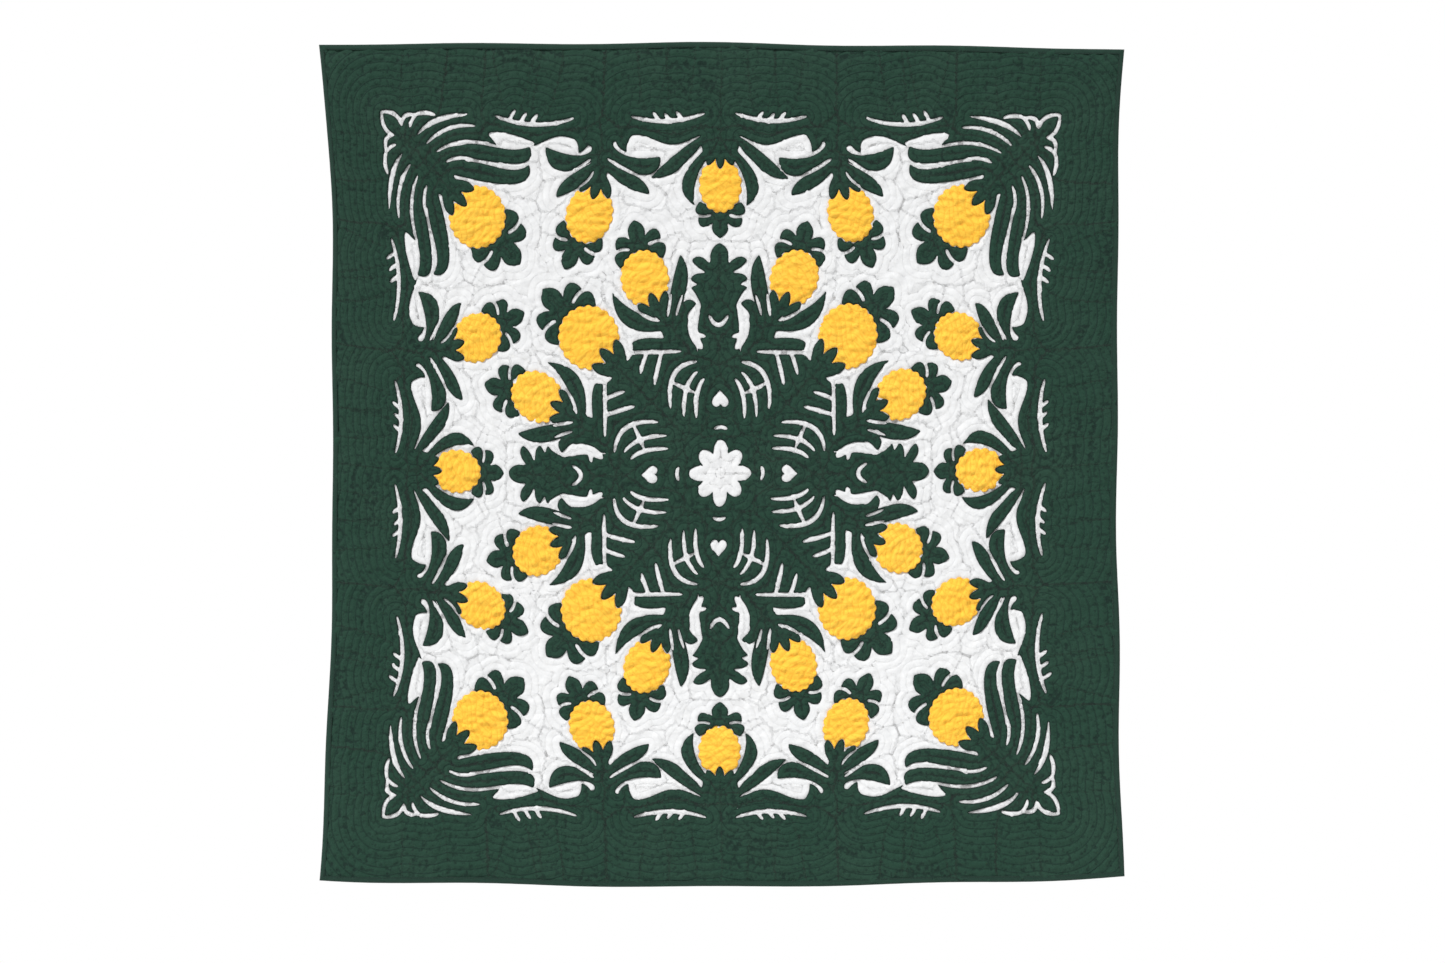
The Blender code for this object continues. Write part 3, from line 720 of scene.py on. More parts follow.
def built(
    name: str,
    places: np.ndarray,
    faces: np.ndarray,
    uv: np.ndarray,
    values: dict[str, np.ndarray],
    finish: bpy.types.Material,
) -> bpy.types.Object:
    """A smooth object from arrays.

    Args:
        name: The object's name.
        places: One (x, y, z) a row, in metres.
        faces: Three point numbers a triangle.
        uv: One (u, v) a point.
        values: Values a point, by attribute name.
        finish: The material.

    Returns:
        The object, in the scene.
    """
    mesh = bpy.data.meshes.new(name)
    mesh.vertices.add(len(places))
    mesh.vertices.foreach_set("co", places.astype(np.float32).ravel())
    mesh.loops.add(faces.size)
    mesh.loops.foreach_set("vertex_index", faces.astype(np.int32).ravel())
    mesh.polygons.add(len(faces))
    mesh.polygons.foreach_set("loop_start", np.arange(0, faces.size, 3, dtype=np.int32))
    mesh.update(calc_edges=True)
    layer = mesh.uv_layers.new(name="UVMap")
    layer.data.foreach_set("uv", uv[faces.ravel()].astype(np.float32).ravel())
    for title, numbers in values.items():
        attribute = mesh.attributes.new(title, "FLOAT", "POINT")
        attribute.data.foreach_set("value", numbers.astype(np.float32))
    mesh.shade_smooth()
    mesh.materials.append(finish)
    item = bpy.data.objects.new(name, mesh)
    bpy.context.scene.collection.objects.link(item)
    return item


def skirted(
    outlines: Sequence[np.ndarray], face: Surface, sunk: float, inset: float = 0.35
) -> Surface:
    """A cloth's face with its turned-under edge.

    Args:
        outlines: The cloth's outlines, whose points are the face's first ones.
        face: The cloth's face.
        sunk: How far the edge goes down into the body, in millimetres.
        inset: How far inside the outlines the edge ends, in millimetres.

    Returns:
        The whole surface.
    """
    feet, skirt, first, count = [], [], 0, len(face.points)
    for outline in outlines:
        feet.append(outline + inward(outline) * inset)
        here = first + np.arange(len(outline))
        after = first + np.roll(np.arange(len(outline)), -1)
        skirt.append(np.stack([after, here, here + count], axis=1))
        skirt.append(np.stack([after, here + count, after + count], axis=1))
        first += len(outline)
    foot = np.concatenate(feet)
    values = {name: np.concatenate([given, given[:first]]) for name, given in face.values.items()}
    return Surface(
        points=np.concatenate([face.points, foot]),
        level=np.concatenate([face.level, body_level(foot) - sunk]),
        faces=np.concatenate([face.faces, *skirt]),
        values=values,
    )


@dataclass(frozen=True)
class SewnCloth:
    """How a cut cloth lies on the body: the spread of its points and its turned edge."""

    pitch: float = 3.3
    snap: float = 2.55
    rim: float = 1.3
    rim_share: float = 0.85
    clear: float = 1.0
    turn: float = 2.4
    sunk: float = 0.9
    crumple: Crumple = Crumple()

    def spots(self, outlines: Sequence[np.ndarray], seams: Seams, snap: bool) -> np.ndarray:
        """Points inside the cloth: a row just inside its edge, and the rest spread evenly.

        Args:
            outlines: The cloth's outlines.
            seams: Its sewn edges.
            snap: Whether the rest is moved into rows along the quilting.

        Returns:
            One (x, z) a row.
        """
        rims = np.concatenate([o + inward(o) * self.rim for o in outlines])
        corner = np.concatenate(outlines)
        spread = hex_points(corner.min(axis=0), corner.max(axis=0), self.pitch)
        spread = spread[held(spread, outlines)]
        if snap:
            spread = seams.snapped(spread, self.snap)
            spread = spread[held(spread, outlines)]
        rims = rims[seams.nearest(rims)[0] > self.rim * self.rim_share]
        rims = rims[held(rims, outlines)]
        gap = seams.nearest(spread)[0]
        edge = HALF_CLOTH - BODY_INSET - np.abs(spread).max(axis=1)
        return np.concatenate([rims, spread[(gap > self.rim + self.clear) & (edge > self.clear)]])

    def surface(
        self, outlines: Sequence[np.ndarray], seams: Seams, points: np.ndarray, faces: np.ndarray
    ) -> Surface:
        """The cloth's face with its quilting, and its turned edge going down into the body.

        Args:
            outlines: The cloth's outlines.
            seams: The sewn edges that its quilting echoes.
            points: The face's points, the outlines' first.
            faces: The face's triangles.

        Returns:
            The surface.
        """
        distance, _, run = seams.nearest(points)
        echo = ECHO.drifted(points, distance)
        turned = np.sqrt(np.clip(distance / self.turn, 0, 1))
        level = body_level(points) + APART + CLOTH_THICK * turned + ECHO.rise(echo)
        level += self.crumple.at(points) * turned
        return skirted(outlines, Surface(points, level, faces, {"echo": echo, "run": run}), self.sunk)


@dataclass(frozen=True)
class CrownLobes:
    """The lobes of a pineapple's crown, with the base on the fruit's end and the tip along +Z."""

    sink: float = 3.0
    base: float = 15.0
    tip: Blade = Blade(
        ((-6, 8), (-11, 24), (-18, 34), (0, 46)),
        ((6, 8), (11, 24), (18, 34), (0, 46)),
    )
    lobes: tuple[Blade, ...] = (
        Blade(((5, 11), (10, 28), (33, 38), (31, 11)), ((2, 1), (17, 16), (31, 11))),
        Blade(((3, -2), (20, 15), (48, 10), (29, -15)), ((2, -7), (15, -6), (29, -15))),
    )

    def outlines(self) -> list[np.ndarray]:
        """The tip lobe, and the side lobes with their mirror images."""
        sides = [lobe.outline(FINE_STEP) for lobe in self.lobes]
        return [self.tip.outline(FINE_STEP), *sides, *[side * np.array([-1, 1]) for side in sides]]


@dataclass(frozen=True)
class CalyxLobes:
    """The green lobes a fruit sits in, with its stem end at 0 and the fruit along +Z."""

    lobes: tuple[Leaf, ...] = (
        Leaf((0, -14), (0, 2), (0, 19), 7, 7, 0.5, False, 0.95),
        Leaf((4, -14), (15, -4), (21, 13), 7, 7, 0.55, False, 0.95),
        Leaf((-4, -14), (-15, -4), (-21, 13), 7, 7, 0.55, False, 0.95),
    )


class FruitKind(Enum):
    """The kinds of pineapple: half sizes, the scales of lobes and crown, and the count of scallops."""

    LARGE = (42.5, 43.5, 1.15, (1.3, 1.17), 20)
    SMALL = (33.0, 39.0, 1.0, (1.03, 1.0), 18)
    SLIM = (29.5, 38.5, 0.86, (1.0, 0.84), 16)

    def __init__(
        self, across: float, along: float, calyx: float, crown: tuple[float, float], scallops: int
    ) -> None:
        """Keeps the sizes under their names, the crown's scale as across and along.

        Args:
            across: Half the fruit's width, in millimetres.
            along: Half its length, in millimetres.
            calyx: The scale of the lobes that it sits in.
            crown: The crown's scale across and along.
            scallops: How many bumps its edge has.
        """
        self.across = across
        self.along = along
        self.calyx = calyx
        self.crown = crown
        self.scallops = scallops


@dataclass(frozen=True)
class Pineapple:
    """One pineapple: a padded yellow fruit, its green crown, and the lobes it sits in."""

    name: str
    kind: FruitKind
    x: float
    z: float
    heading: float
    crown_heading: float
    scallop: float = 3.0
    scallop_middle: float = 0.6
    base_points: int = 30
    seam_step: float = 1.0
    net_slope: float = 0.62
    net_height: float = 1.4
    net_roundness: float = 0.55
    net_middle: float = 0.4
    sways: tuple[Ripple, ...] = (Ripple(3.4, 8.0, math.inf), Ripple(3.0, 13.0, 7.0))
    dome: float = 1.6
    sewn: SewnCloth = SewnCloth(pitch=2.1, rim=1.1, turn=3.2)
    crown_sewn: SewnCloth = SewnCloth(pitch=2.8, rim=1.2)
    rumple: Crumple = Crumple(seed=3, shortest=7.0, longest=34.0, height=0.3, flatter=2.0)

    def ahead(self) -> tuple[np.ndarray, np.ndarray]:
        """The unit ways across the fruit and towards its crown."""
        along = unit(self.heading)
        return np.array([along[1], -along[0]]), along

    def turned(self, points: np.ndarray, lift: float = 0.0) -> np.ndarray:
        """Points of a motif laid at the pineapple's place, its +Z towards the crown.

        Args:
            points: The motif's points.
            lift: How far it is moved towards the crown, in millimetres.

        Returns:
            Pattern positions.
        """
        across, along = self.ahead()
        middle = np.array([self.x, self.z])
        return middle + points[:, :1] * across + (points[:, 1:] + lift) * along

    def fruit(self, grow: float = 0.0, points: int = 240) -> np.ndarray:
        """The scalloped edge of the fruit.

        Args:
            grow: How much wider it is made on each side, in millimetres.
            points: How many points it gets.

        Returns:
            The closed outline.
        """
        angle = np.linspace(0, 2 * math.pi, points, endpoint=False)
        wave = np.abs(np.sin(self.kind.scallops * angle / 2))
        bump = self.scallop * (wave - self.scallop_middle) + grow
        ring = [(self.kind.across + bump) * np.sin(angle), -(self.kind.along + bump) * np.cos(angle)]
        return self.turned(np.stack(ring, axis=1))

    def calyx(self, grow: float = 0.0) -> list[np.ndarray]:
        """The lobes that lap the fruit's stem end.

        Args:
            grow: How much wider it is made on each side, in millimetres.

        Returns:
            One closed outline a lobe.
        """
        scale = self.kind.calyx
        shapes = [lobe.outline(grow / scale, FINE_STEP) for lobe in CalyxLobes().lobes]
        return [self.turned(shape * scale, -self.kind.along) for shape in shapes]

    def crown(self) -> list[np.ndarray]:
        """The base and lobes of the crown.

        Returns:
            One closed outline each.
        """
        part = CrownLobes()
        shapes = [super_ring(part.base, CIRCLE, self.base_points), *part.outlines()]
        lift = self.kind.along - part.sink
        upright = replace(self, heading=self.crown_heading)
        return [upright.turned(shape * np.array(self.kind.crown), lift) for shape in shapes]

    def fruit_outlines(self) -> list[np.ndarray]:
        """The fruit's outline, cut back round the lobes that lap it.

        Returns:
            The closed outlines.
        """
        cutting = Cutting(step=1.3)
        cutting.lay(self.fruit())
        cutting.cut(*self.calyx(SEAM_GAP))
        return cutting.outlines()

    def crown_outlines(self) -> list[np.ndarray]:
        """The crown's outline, cut round the end of its fruit.

        Returns:
            The closed outlines.
        """
        cutting = Cutting(step=2.0)
        cutting.lay(*self.crown())
        cutting.cut(self.fruit(SEAM_GAP))
        return cutting.outlines()

    def nets(self, across: np.ndarray, along: np.ndarray) -> list[np.ndarray]:
        """The distances that the two crossing sets of slanting stitch lines are counted by.

        Args:
            across: How far each point lies across the fruit, in millimetres.
            along: How far each lies towards its crown, in millimetres.

        Returns:
            The distances for the one set and for the other.
        """
        starts = zip(self.sways, (self.x, self.z))
        sway = sum(replace(ripple, start=start).at(across, along) for ripple, start in starts)
        return [across * self.net_slope + along + sway, along - across * self.net_slope - sway]

    def add_fruit(self, finish: bpy.types.Material) -> bpy.types.Object:
        """The padded fruit, puckered where two sets of slanting stitch lines cross.

        Args:
            finish: The material.

        Returns:
            The object.
        """
        outlines = self.fruit_outlines()
        seams = Seams(outlines, self.seam_step)
        points, faces = filled(outlines, self.sewn.spots(outlines, seams, snap=False))
        distance, _, _ = seams.nearest(points)
        across, along = self.ahead()
        local = points - np.array([self.x, self.z])
        a, b = local @ across, local @ along
        nets = self.nets(a, b)
        ridge = np.minimum(*[np.abs(np.sin(math.pi * net / NET_PITCH)) for net in nets])
        padding = self.net_height * (ridge**self.net_roundness - self.net_middle)
        turned = np.sqrt(np.clip(distance / self.sewn.turn, 0, 1))
        radius = np.hypot(a / self.kind.across, b / self.kind.along)
        level = body_level(points) + APART + CLOTH_THICK * turned
        level += self.dome * np.clip(1 - radius**2, 0, 1)
        level += padding * turned + self.rumple.at(points)
        level = np.maximum(level, body_level(points) - APART)
        values = {"net_a": nets[0], "net_b": nets[1], "echo": distance}
        surface = skirted(outlines, Surface(points, level, faces, values), self.sewn.sunk)
        piece = surface.build(f"pineapple_{self.name}", finish)
        dressed(piece, outlines, "yellow_cloth", f"fruit_{self.name}")
        return piece

    def add_crown(self, finish: bpy.types.Material) -> bpy.types.Object:
        """The leafy crown, sewn on beyond the fruit.

        Args:
            finish: The material.

        Returns:
            The object.
        """
        outlines = self.crown_outlines()
        seams = Seams(outlines)
        points, faces = filled(outlines, self.crown_sewn.spots(outlines, seams, snap=False))
        surface = self.crown_sewn.surface(outlines, seams, points, faces)
        piece = surface.build(f"leaves_{self.name}", finish)
        dressed(piece, outlines, "green_cloth", f"crown_{self.name}")
        return piece


def dressed(
    piece: bpy.types.Object, outlines: Sequence[np.ndarray], slot: str, *nodes: str
) -> None:
    """Fixes a sewn cloth to the quilt and hides the solids that it stands for.

    Args:
        piece: The cloth.
        outlines: Its outlines, in millimetres; not used.
        slot: The name of the material slot of its finish; not used.
        nodes: The solids that it stands for.
    """
    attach(piece, "root")
    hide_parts(*nodes)


def all_pineapples() -> list[Pineapple]:
    """Every pineapple: the five drawn ones and their mirror images, counted round the cloth.

    Returns:
        The pineapples, named by their kind of place and a number.
    """
    drawn = (
        Pineapple("centre_corner", FruitKind.LARGE, 183, 183, 45, 45),
        Pineapple("centre_side", FruitKind.SMALL, 104, 260, 22, 12),
        Pineapple("frame_corner", FruitKind.LARGE, 350, 350, 225, 225),
        Pineapple("frame_flank", FruitKind.SMALL, 183, 350, 165, 155),
        Pineapple("frame_middle", FruitKind.SLIM, 0, 386, 180, 180),
    )
    found = []
    for one in drawn:
        ways = np.stack([(one.x, one.z), unit(one.heading), unit(one.crown_heading)])
        seen: dict[tuple[int, int], Pineapple] = {}
        for spot, *ahead in copies(ways):
            fruit, crown = (math.degrees(math.atan2(*way)) for way in ahead)
            copy = replace(one, x=float(spot[0]), z=float(spot[1]), heading=fruit, crown_heading=crown)
            seen.setdefault((round(copy.x), round(copy.z)), copy)
        ordered = sorted(seen.values(), key=lambda p: math.atan2(p.x, p.z) % (2 * math.pi))
        found += [replace(p, name=f"{p.name}_{i}") for i, p in enumerate(ordered, 1)]
    return found


@dataclass(frozen=True)
class GreenFrame:
    """The border cloth, with fronds, leaves and slits cut along its inner edge."""

    field_edge: float = 450.5
    field_wave: float = 7.5
    field_wave_long: float = 106.0
    field_crest: float = 118.0
    field_reach: float = 335.0
    field_points: int = 220
    stems: tuple[Leaf, ...] = (
        Leaf((164, 470), (162, 430), (173, 380), 15, 15, 0.3, False, 1.0),
        Leaf((0, 470), (16, 445), (0, 412), 20, 20, 0.3, False, 1.0),
    )
    leaves: tuple[Blade, ...] = (
        Blade(((153, 452), (140, 419), (83, 427)), ((160, 431), (118, 390), (80, 394), (83, 427))),
        Blade(((164, 427), (121, 406), (98, 392), (99, 374)), ((163, 416), (137, 380), (99, 374))),
        Blade(((174, 446), (184, 418), (247, 444)), ((166, 431), (213, 397), (248, 405), (247, 444))),
        Blade(((160, 430), (206, 408), (232, 396), (231, 374)), ((164, 416), (190, 384), (231, 374))),
        Blade(((19, 459), (66, 433), (97, 397)), ((18, 457), (54, 391), (97, 397))),
        Blade(((12, 444), (82, 387), (36, 357)), ((10, 434), (43, 396), (36, 357))),
        Blade(
            ((422, 428), (364, 484), (317, 425), (270, 445)),
            ((399, 430), (379, 446), (248, 392), (270, 445)),
        ),
        Blade(
            ((398, 422), (347, 441), (301, 397), (271, 420)),
            ((400, 414), (362, 403), (256, 371), (271, 420)),
        ),
        Blade(((146, 464), (148, 440), (129, 434)), ((122, 458), (131, 446), (129, 434))),
        Blade(((182, 464), (180, 440), (199, 434)), ((206, 458), (197, 446), (199, 434))),
        Blade(((350, 455), (334, 452), (318, 447)), ((340, 470), (326, 458), (318, 447))),
    )
    shoulder: tuple[Point, ...] = (
        (500, 500), (340, 500), (352, 456), (385, 415), (415, 385), (456, 352), (500, 340),
    )
    stem: Leaf = Leaf((440, 440), (410, 410), (374, 374), 20, 20, 0.4, False, 1.0)
    slits: tuple[Slit, ...] = (
        Slit((411, 440), (370, 463), (316, 444), 5),
        Slit((426, 451), (394, 480), (348, 473), 5.4),
        Slit((397, 426), (375, 437), (350, 427), 5),
        Slit((463, 476), (463, 495), (440, 489), 5.6),
        Slit((451, 472), (450, 484), (439, 490), 5),
        Slit((445, 489), (426, 496), (409, 488), 5.6),
        Slit((463, 474), (467, 497), (496, 493), 5.6),
        Slit((27, 437), (44, 418), (60, 404), 4.5),
        Slit((322, 487), (264, 464), (205, 483), 6),
        Slit((125, 484), (72, 467), (20, 486), 6),
    )
    last_slits: tuple[Slit, ...] = (
        Slit((179, 427), (197, 413), (219, 402), 4.8),
        Slit((158, 427), (139, 413), (112, 400), 4.8),
        Slit((176, 410), (181, 396), (199, 387), 3.6),
    )
    sickle: Blade = Blade(
        ((440, 463), (429, 481), (402, 494), (360, 489)),
        ((440, 463), (421, 476), (404, 481), (360, 489)),
    )
    bay: Blade = Blade(
        ((331, 463), (322, 467), (297, 464), (262, 449)),
        ((331, 463), (322, 436), (286, 424), (262, 449)),
    )
    thorn_route: tuple[Point, ...] = ((0, -3), (3, 6), (10, 13))
    thorn_width: float = 5.0
    thorns: tuple[tuple[float, float, float], ...] = (
        (300, 482, -1), (284, 478, -1), (268, 476, -1), (52, 476, 1), (68, 474, 1), (84, 476, 1),
    )

    def field(self) -> np.ndarray:
        """The wavy inner edge before its leaves are drawn over it.

        Returns:
            The closed outline.
        """
        x = np.linspace(-self.field_reach, self.field_reach, self.field_points)
        turn = 2 * math.pi * (np.abs(x) - self.field_crest) / self.field_wave_long
        return four_sides(np.stack([x, -self.field_edge - self.field_wave * np.cos(turn)], axis=1))

    def thorn(self, x: float, z: float, lean: float) -> np.ndarray:
        """A small pointed cut beyond the long slits, from its root and the side it leans to.

        Args:
            x: The root's place across.
            z: The root's place up.
            lean: 1 when it leans to the right, and -1 to the left.

        Returns:
            The closed outline.
        """
        route = [(x + across * lean, z + up) for across, up in self.thorn_route]
        return Slit(*route, self.thorn_width).outline(FINE_STEP)

    def outlines(self, pineapples: Sequence[Pineapple]) -> list[np.ndarray]:
        """The cloth's outlines, cut round its pineapples and with the lobes that lap them.

        Args:
            pineapples: The pineapples that grow from it.

        Returns:
            The closed outlines.
        """
        cutting = Cutting()
        cutting.lay(edge_ring(BODY_INSET, EDGE_STEPS))
        cutting.cut(self.field(), *copies(self.bay.outline()))
        cutting.lay(*diagonal(np.array(self.shoulder, float)), *diagonal(self.stem.outline()))
        for leaf in (*self.stems, *self.leaves):
            cutting.lay(*copies(leaf.outline()))
        for slit in (*self.slits, self.sickle):
            cutting.cut(*copies(slit.outline()))
        for root in self.thorns:
            cutting.cut(*copies(self.thorn(*root)))
        cutting.cut(*[p.fruit(SEAM_GAP) for p in pineapples])
        for pineapple in pineapples:
            cutting.lay(*pineapple.calyx())
        for slit in self.last_slits:
            cutting.cut(*copies(slit.outline()))
        return cutting.outlines()


@dataclass(frozen=True)
class Centrepiece:
    """The centrepiece, cut from one cloth folded three times."""

    hub_half: float = 160.0
    hub_power: float = 9.0
    hub_points: int = 320
    trunk: Leaf = Leaf((0, 110), (0, 180), (0, 250), 29, 29, 0.5, True, 1.0)
    fruit: Leaf = Leaf((0, 178), (0, 235), (0, 284), 26, 26, 0.45, True, 1.0)
    top: Leaf = Leaf((0, 258), (0, 284), (0, 306), 13, 13, 0.6, False, 0.9)
    leaves: tuple[Blade, ...] = (
        Blade(((5, 269), (26, 297), (39, 283)), ((8, 263), (32, 270), (39, 283))),
        Blade(((6, 263), (36, 270), (40, 257)), ((16, 242), (34, 253), (40, 257))),
        Blade(((16, 252), (35, 250), (40, 246)), ((22, 216), (30, 240), (40, 246))),
        Blade(((74, 190), (67, 262), (55, 291)), ((66, 190), (27, 262), (55, 291))),
        Blade(((63, 190), (51, 250), (27, 222)), ((47, 188), (45, 221), (27, 222))),
        Blade(((60, 201), (120, 207), (150, 244)), ((58, 194), (147, 172), (150, 244))),
        Blade(((52, 176), (129, 190), (126, 163)), ((48, 160), (87, 160), (126, 163))),
    )
    stems: tuple[Leaf, ...] = (
        Leaf((52, 150), (56, 190), (90, 226), 15, 15, 0.4, False, 1.0),
        Leaf((52, 150), (58, 186), (61, 214), 24, 18, 0.5, True, 1.0),
    )
    slits: tuple[Slit, ...] = (
        Slit((25, 226), (48, 195), (22, 164), 13),
        Slit((34, 184), (26, 183), (17, 181), 6),
        Slit((50, 162), (88, 161), (128, 162), 5.5),
        Slit((124, 176), (122, 164), (129, 150), 6.5),
        Slit((98, 165), (106, 150), (110, 131), 5.5),
        Slit((78, 164), (86, 140), (90, 117), 6),
        Slit((29, 148), (76, 146), (68, 84), 6.5),
        Slit((20, 126), (36, 112), (33, 71), 6),
        Slit((29, 135), (52, 119), (50, 73), 5.5),
        Slit((34, 106), (48, 112), (66, 121), 5.5),
    )
    last_slits: tuple[Slit, ...] = (
        Slit((80, 203), (97, 205), (113, 217), 4.5),
        Slit((71, 207), (69, 222), (66, 240), 4.5),
        Slit((59, 208), (56, 222), (50, 238), 4),
    )
    smile: Slit = Slit((-14, 211), (0, 182), (14, 211), 6)
    arc: Slit = Slit((-10, 57), (0, 64), (10, 57), 5)
    star_tip: float = 44.0
    star_valley: float = 25.0
    star_shorter: float = 4.0
    star_petals: int = 8
    star_points: int = 192
    petal_roundness: float = 0.85
    heart_z: float = 97.0
    heart_half: float = 11.5
    heart_long: float = 24.0
    heart_points: int = 48
    heart_shares: tuple[float, ...] = (13.0, -5.0, -2.0, -1.0)
    heart_span: float = 29.0

    def star(self) -> np.ndarray:
        """The star cut from the middle, with rounded petals.

        Returns:
            The closed outline.
        """
        angle = np.linspace(0, 2 * math.pi, self.star_points, endpoint=False)
        swell = np.abs(np.cos(self.star_petals * angle / 2)) ** self.petal_roundness
        tip = self.star_tip - self.star_shorter * np.sin(2 * angle) ** 2
        reach = self.star_valley + (tip - self.star_valley) * swell
        return np.stack([reach * np.cos(angle), reach * np.sin(angle)], axis=1)

    def heart(self) -> np.ndarray:
        """The small heart, its point outward.

        Returns:
            The closed outline.
        """
        t = np.linspace(0, 2 * math.pi, self.heart_points, endpoint=False)
        x = self.heart_half * np.sin(t) ** 3
        z = sum(share * np.cos(i * t) for i, share in enumerate(self.heart_shares, 1))
        return np.stack([x, self.heart_z - z * self.heart_long / self.heart_span], axis=1)

    def outlines(self, pineapples: Sequence[Pineapple]) -> list[np.ndarray]:
        """The cloth's outlines, cut round its pineapples and with the lobes that lap them.

        Args:
            pineapples: The pineapples that grow from it.

        Returns:
            The closed outlines.
        """
        cutting = Cutting()
        cutting.lay(super_ring(self.hub_half, self.hub_power, self.hub_points))
        for leaf in (self.trunk, self.fruit, self.top):
            cutting.lay(*axial(leaf.outline()))
        for leaf in (*self.stems, *self.leaves):
            cutting.lay(*copies(leaf.outline()))
        for slit in self.slits:
            cutting.cut(*copies(slit.outline()))
        for shape in (self.heart(), self.smile.outline(FINE_STEP), self.arc.outline(FINE_STEP)):
            cutting.cut(*axial(shape))
        cutting.cut(self.star(), *[p.fruit(SEAM_GAP) for p in pineapples])
        for pineapple in pineapples:
            cutting.lay(*pineapple.calyx())
        for slit in self.last_slits:
            cutting.cut(*copies(slit.outline()))
        return cutting.outlines()


@dataclass(frozen=True)
class QuiltBody:
    """Ground cloth, wadding and backing quilted together, with the quilting on both faces."""

    pitch: float = 3.6
    hidden_pitch: float = 15.0
    depth: float = 0.4
    back_pitch: float = 6.6
    fine_clear: float = 1.5
    hidden_clear: float = 3.0
    rim_step: float = 4.0
    sunk: float = 0.9
    back_puff: float = 0.5
    back_share: float = 0.8
    crumple: Crumple = Crumple(seed=11)

    def front_spots(self, cloths: Sequence[np.ndarray], seams: Seams) -> np.ndarray:
        """Points on the ground: fine where it shows, coarse under the green and yellow cloth.

        Args:
            cloths: The outlines of all the cloth sewn on it.
            seams: The sewn edges.

        Returns:
            One (x, z) a row.
        """
        reach = np.array([1.0, 1.0]) * (HALF_CLOTH - RAMP)
        fine = hex_points(-reach, reach, self.pitch)
        fine = seams.snapped(fine[~held(fine, cloths)], ECHO.pitch / 4)
        fine = fine[~held(fine, cloths)]
        fine = fine[seams.nearest(fine)[0] > self.fine_clear]
        coarse = hex_points(-reach, reach, self.hidden_pitch)
        coarse = coarse[held(coarse, cloths)]
        coarse = coarse[seams.nearest(coarse)[0] > self.hidden_clear]
        rims = np.concatenate([evened(outline, self.rim_step) for outline in cloths])
        rims = rims[np.abs(rims).max(axis=1) < HALF_CLOTH - RAMP]
        return np.concatenate([fine, coarse, rims])

    def face_level(
        self, points: np.ndarray, echo: np.ndarray, cloths: Sequence[np.ndarray], rear: bool
    ) -> np.ndarray:
        """The level of one face of the body, pressed thinner towards its edge.

        Args:
            points: Pattern positions, one (x, z) a row.
            echo: How far each is from the sewn edges, as the quilting counts it.
            cloths: The outlines of all the cloth sewn on the front.
            rear: Whether it is the back.

        Returns:
            One level a point, in millimetres.
        """
        if rear:
            face = -self.back_puff - self.back_share * (ECHO.rise(echo) + self.crumple.at(points))
        else:
            bare = ECHO.rise(echo) * self.depth + self.crumple.at(points)
            face = body_level(points) + np.where(held(points, cloths), -self.sunk, bare)
        edge = np.clip((HALF_CLOTH - np.abs(points).max(axis=1)) / RAMP, 0, 1)
        return face * edge + (0.0 if rear else BODY_EDGE) * (1 - edge)

    def build(
        self, cloths: Sequence[np.ndarray], seams: Seams, finish: bpy.types.Material
    ) -> bpy.types.Object:
        """The closed body.

        Args:
            cloths: The outlines of all the cloth sewn on it.
            seams: The sewn edges that the quilting echoes.
            finish: The white cloth's material.

        Returns:
            The object.
        """
        ring = edge_ring(BODY_INSET, EDGE_STEPS)
        front, front_faces = filled([ring], self.front_spots(cloths, seams))
        reach = np.array([1.0, 1.0]) * (HALF_CLOTH - RAMP / 2)
        spread = seams.snapped(hex_points(-reach, reach, self.back_pitch), ECHO.pitch / 2)
        spread = spread[np.abs(spread).max(axis=1) < HALF_CLOTH - RAMP / 2]
        back, back_faces = filled([ring], spread)
        levels, echoes, runs = [], [], []
        for points, rear in ((front, False), (back, True)):
            distance, _, run = seams.nearest(points)
            echo = ECHO.drifted(points, distance)
            levels.append(self.face_level(points, echo, cloths, rear))
            echoes.append(echo)
            runs.append(run)
        here = np.arange(len(ring))
        after = np.roll(here, -1)
        start = len(front)
        rim = [(after, here, here + start), (after, here + start, after + start)]
        surface = Surface(
            points=np.concatenate([front, back]),
            level=np.concatenate(levels),
            faces=np.concatenate(
                [front_faces, back_faces[:, ::-1] + start, *[np.stack(r, axis=1) for r in rim]]
            ),
            values={"echo": np.concatenate(echoes), "run": np.concatenate(runs)},
        )
        piece = surface.build("quilted_body", finish)
        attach(piece, "root")
        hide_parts("quilt_body")
        return piece


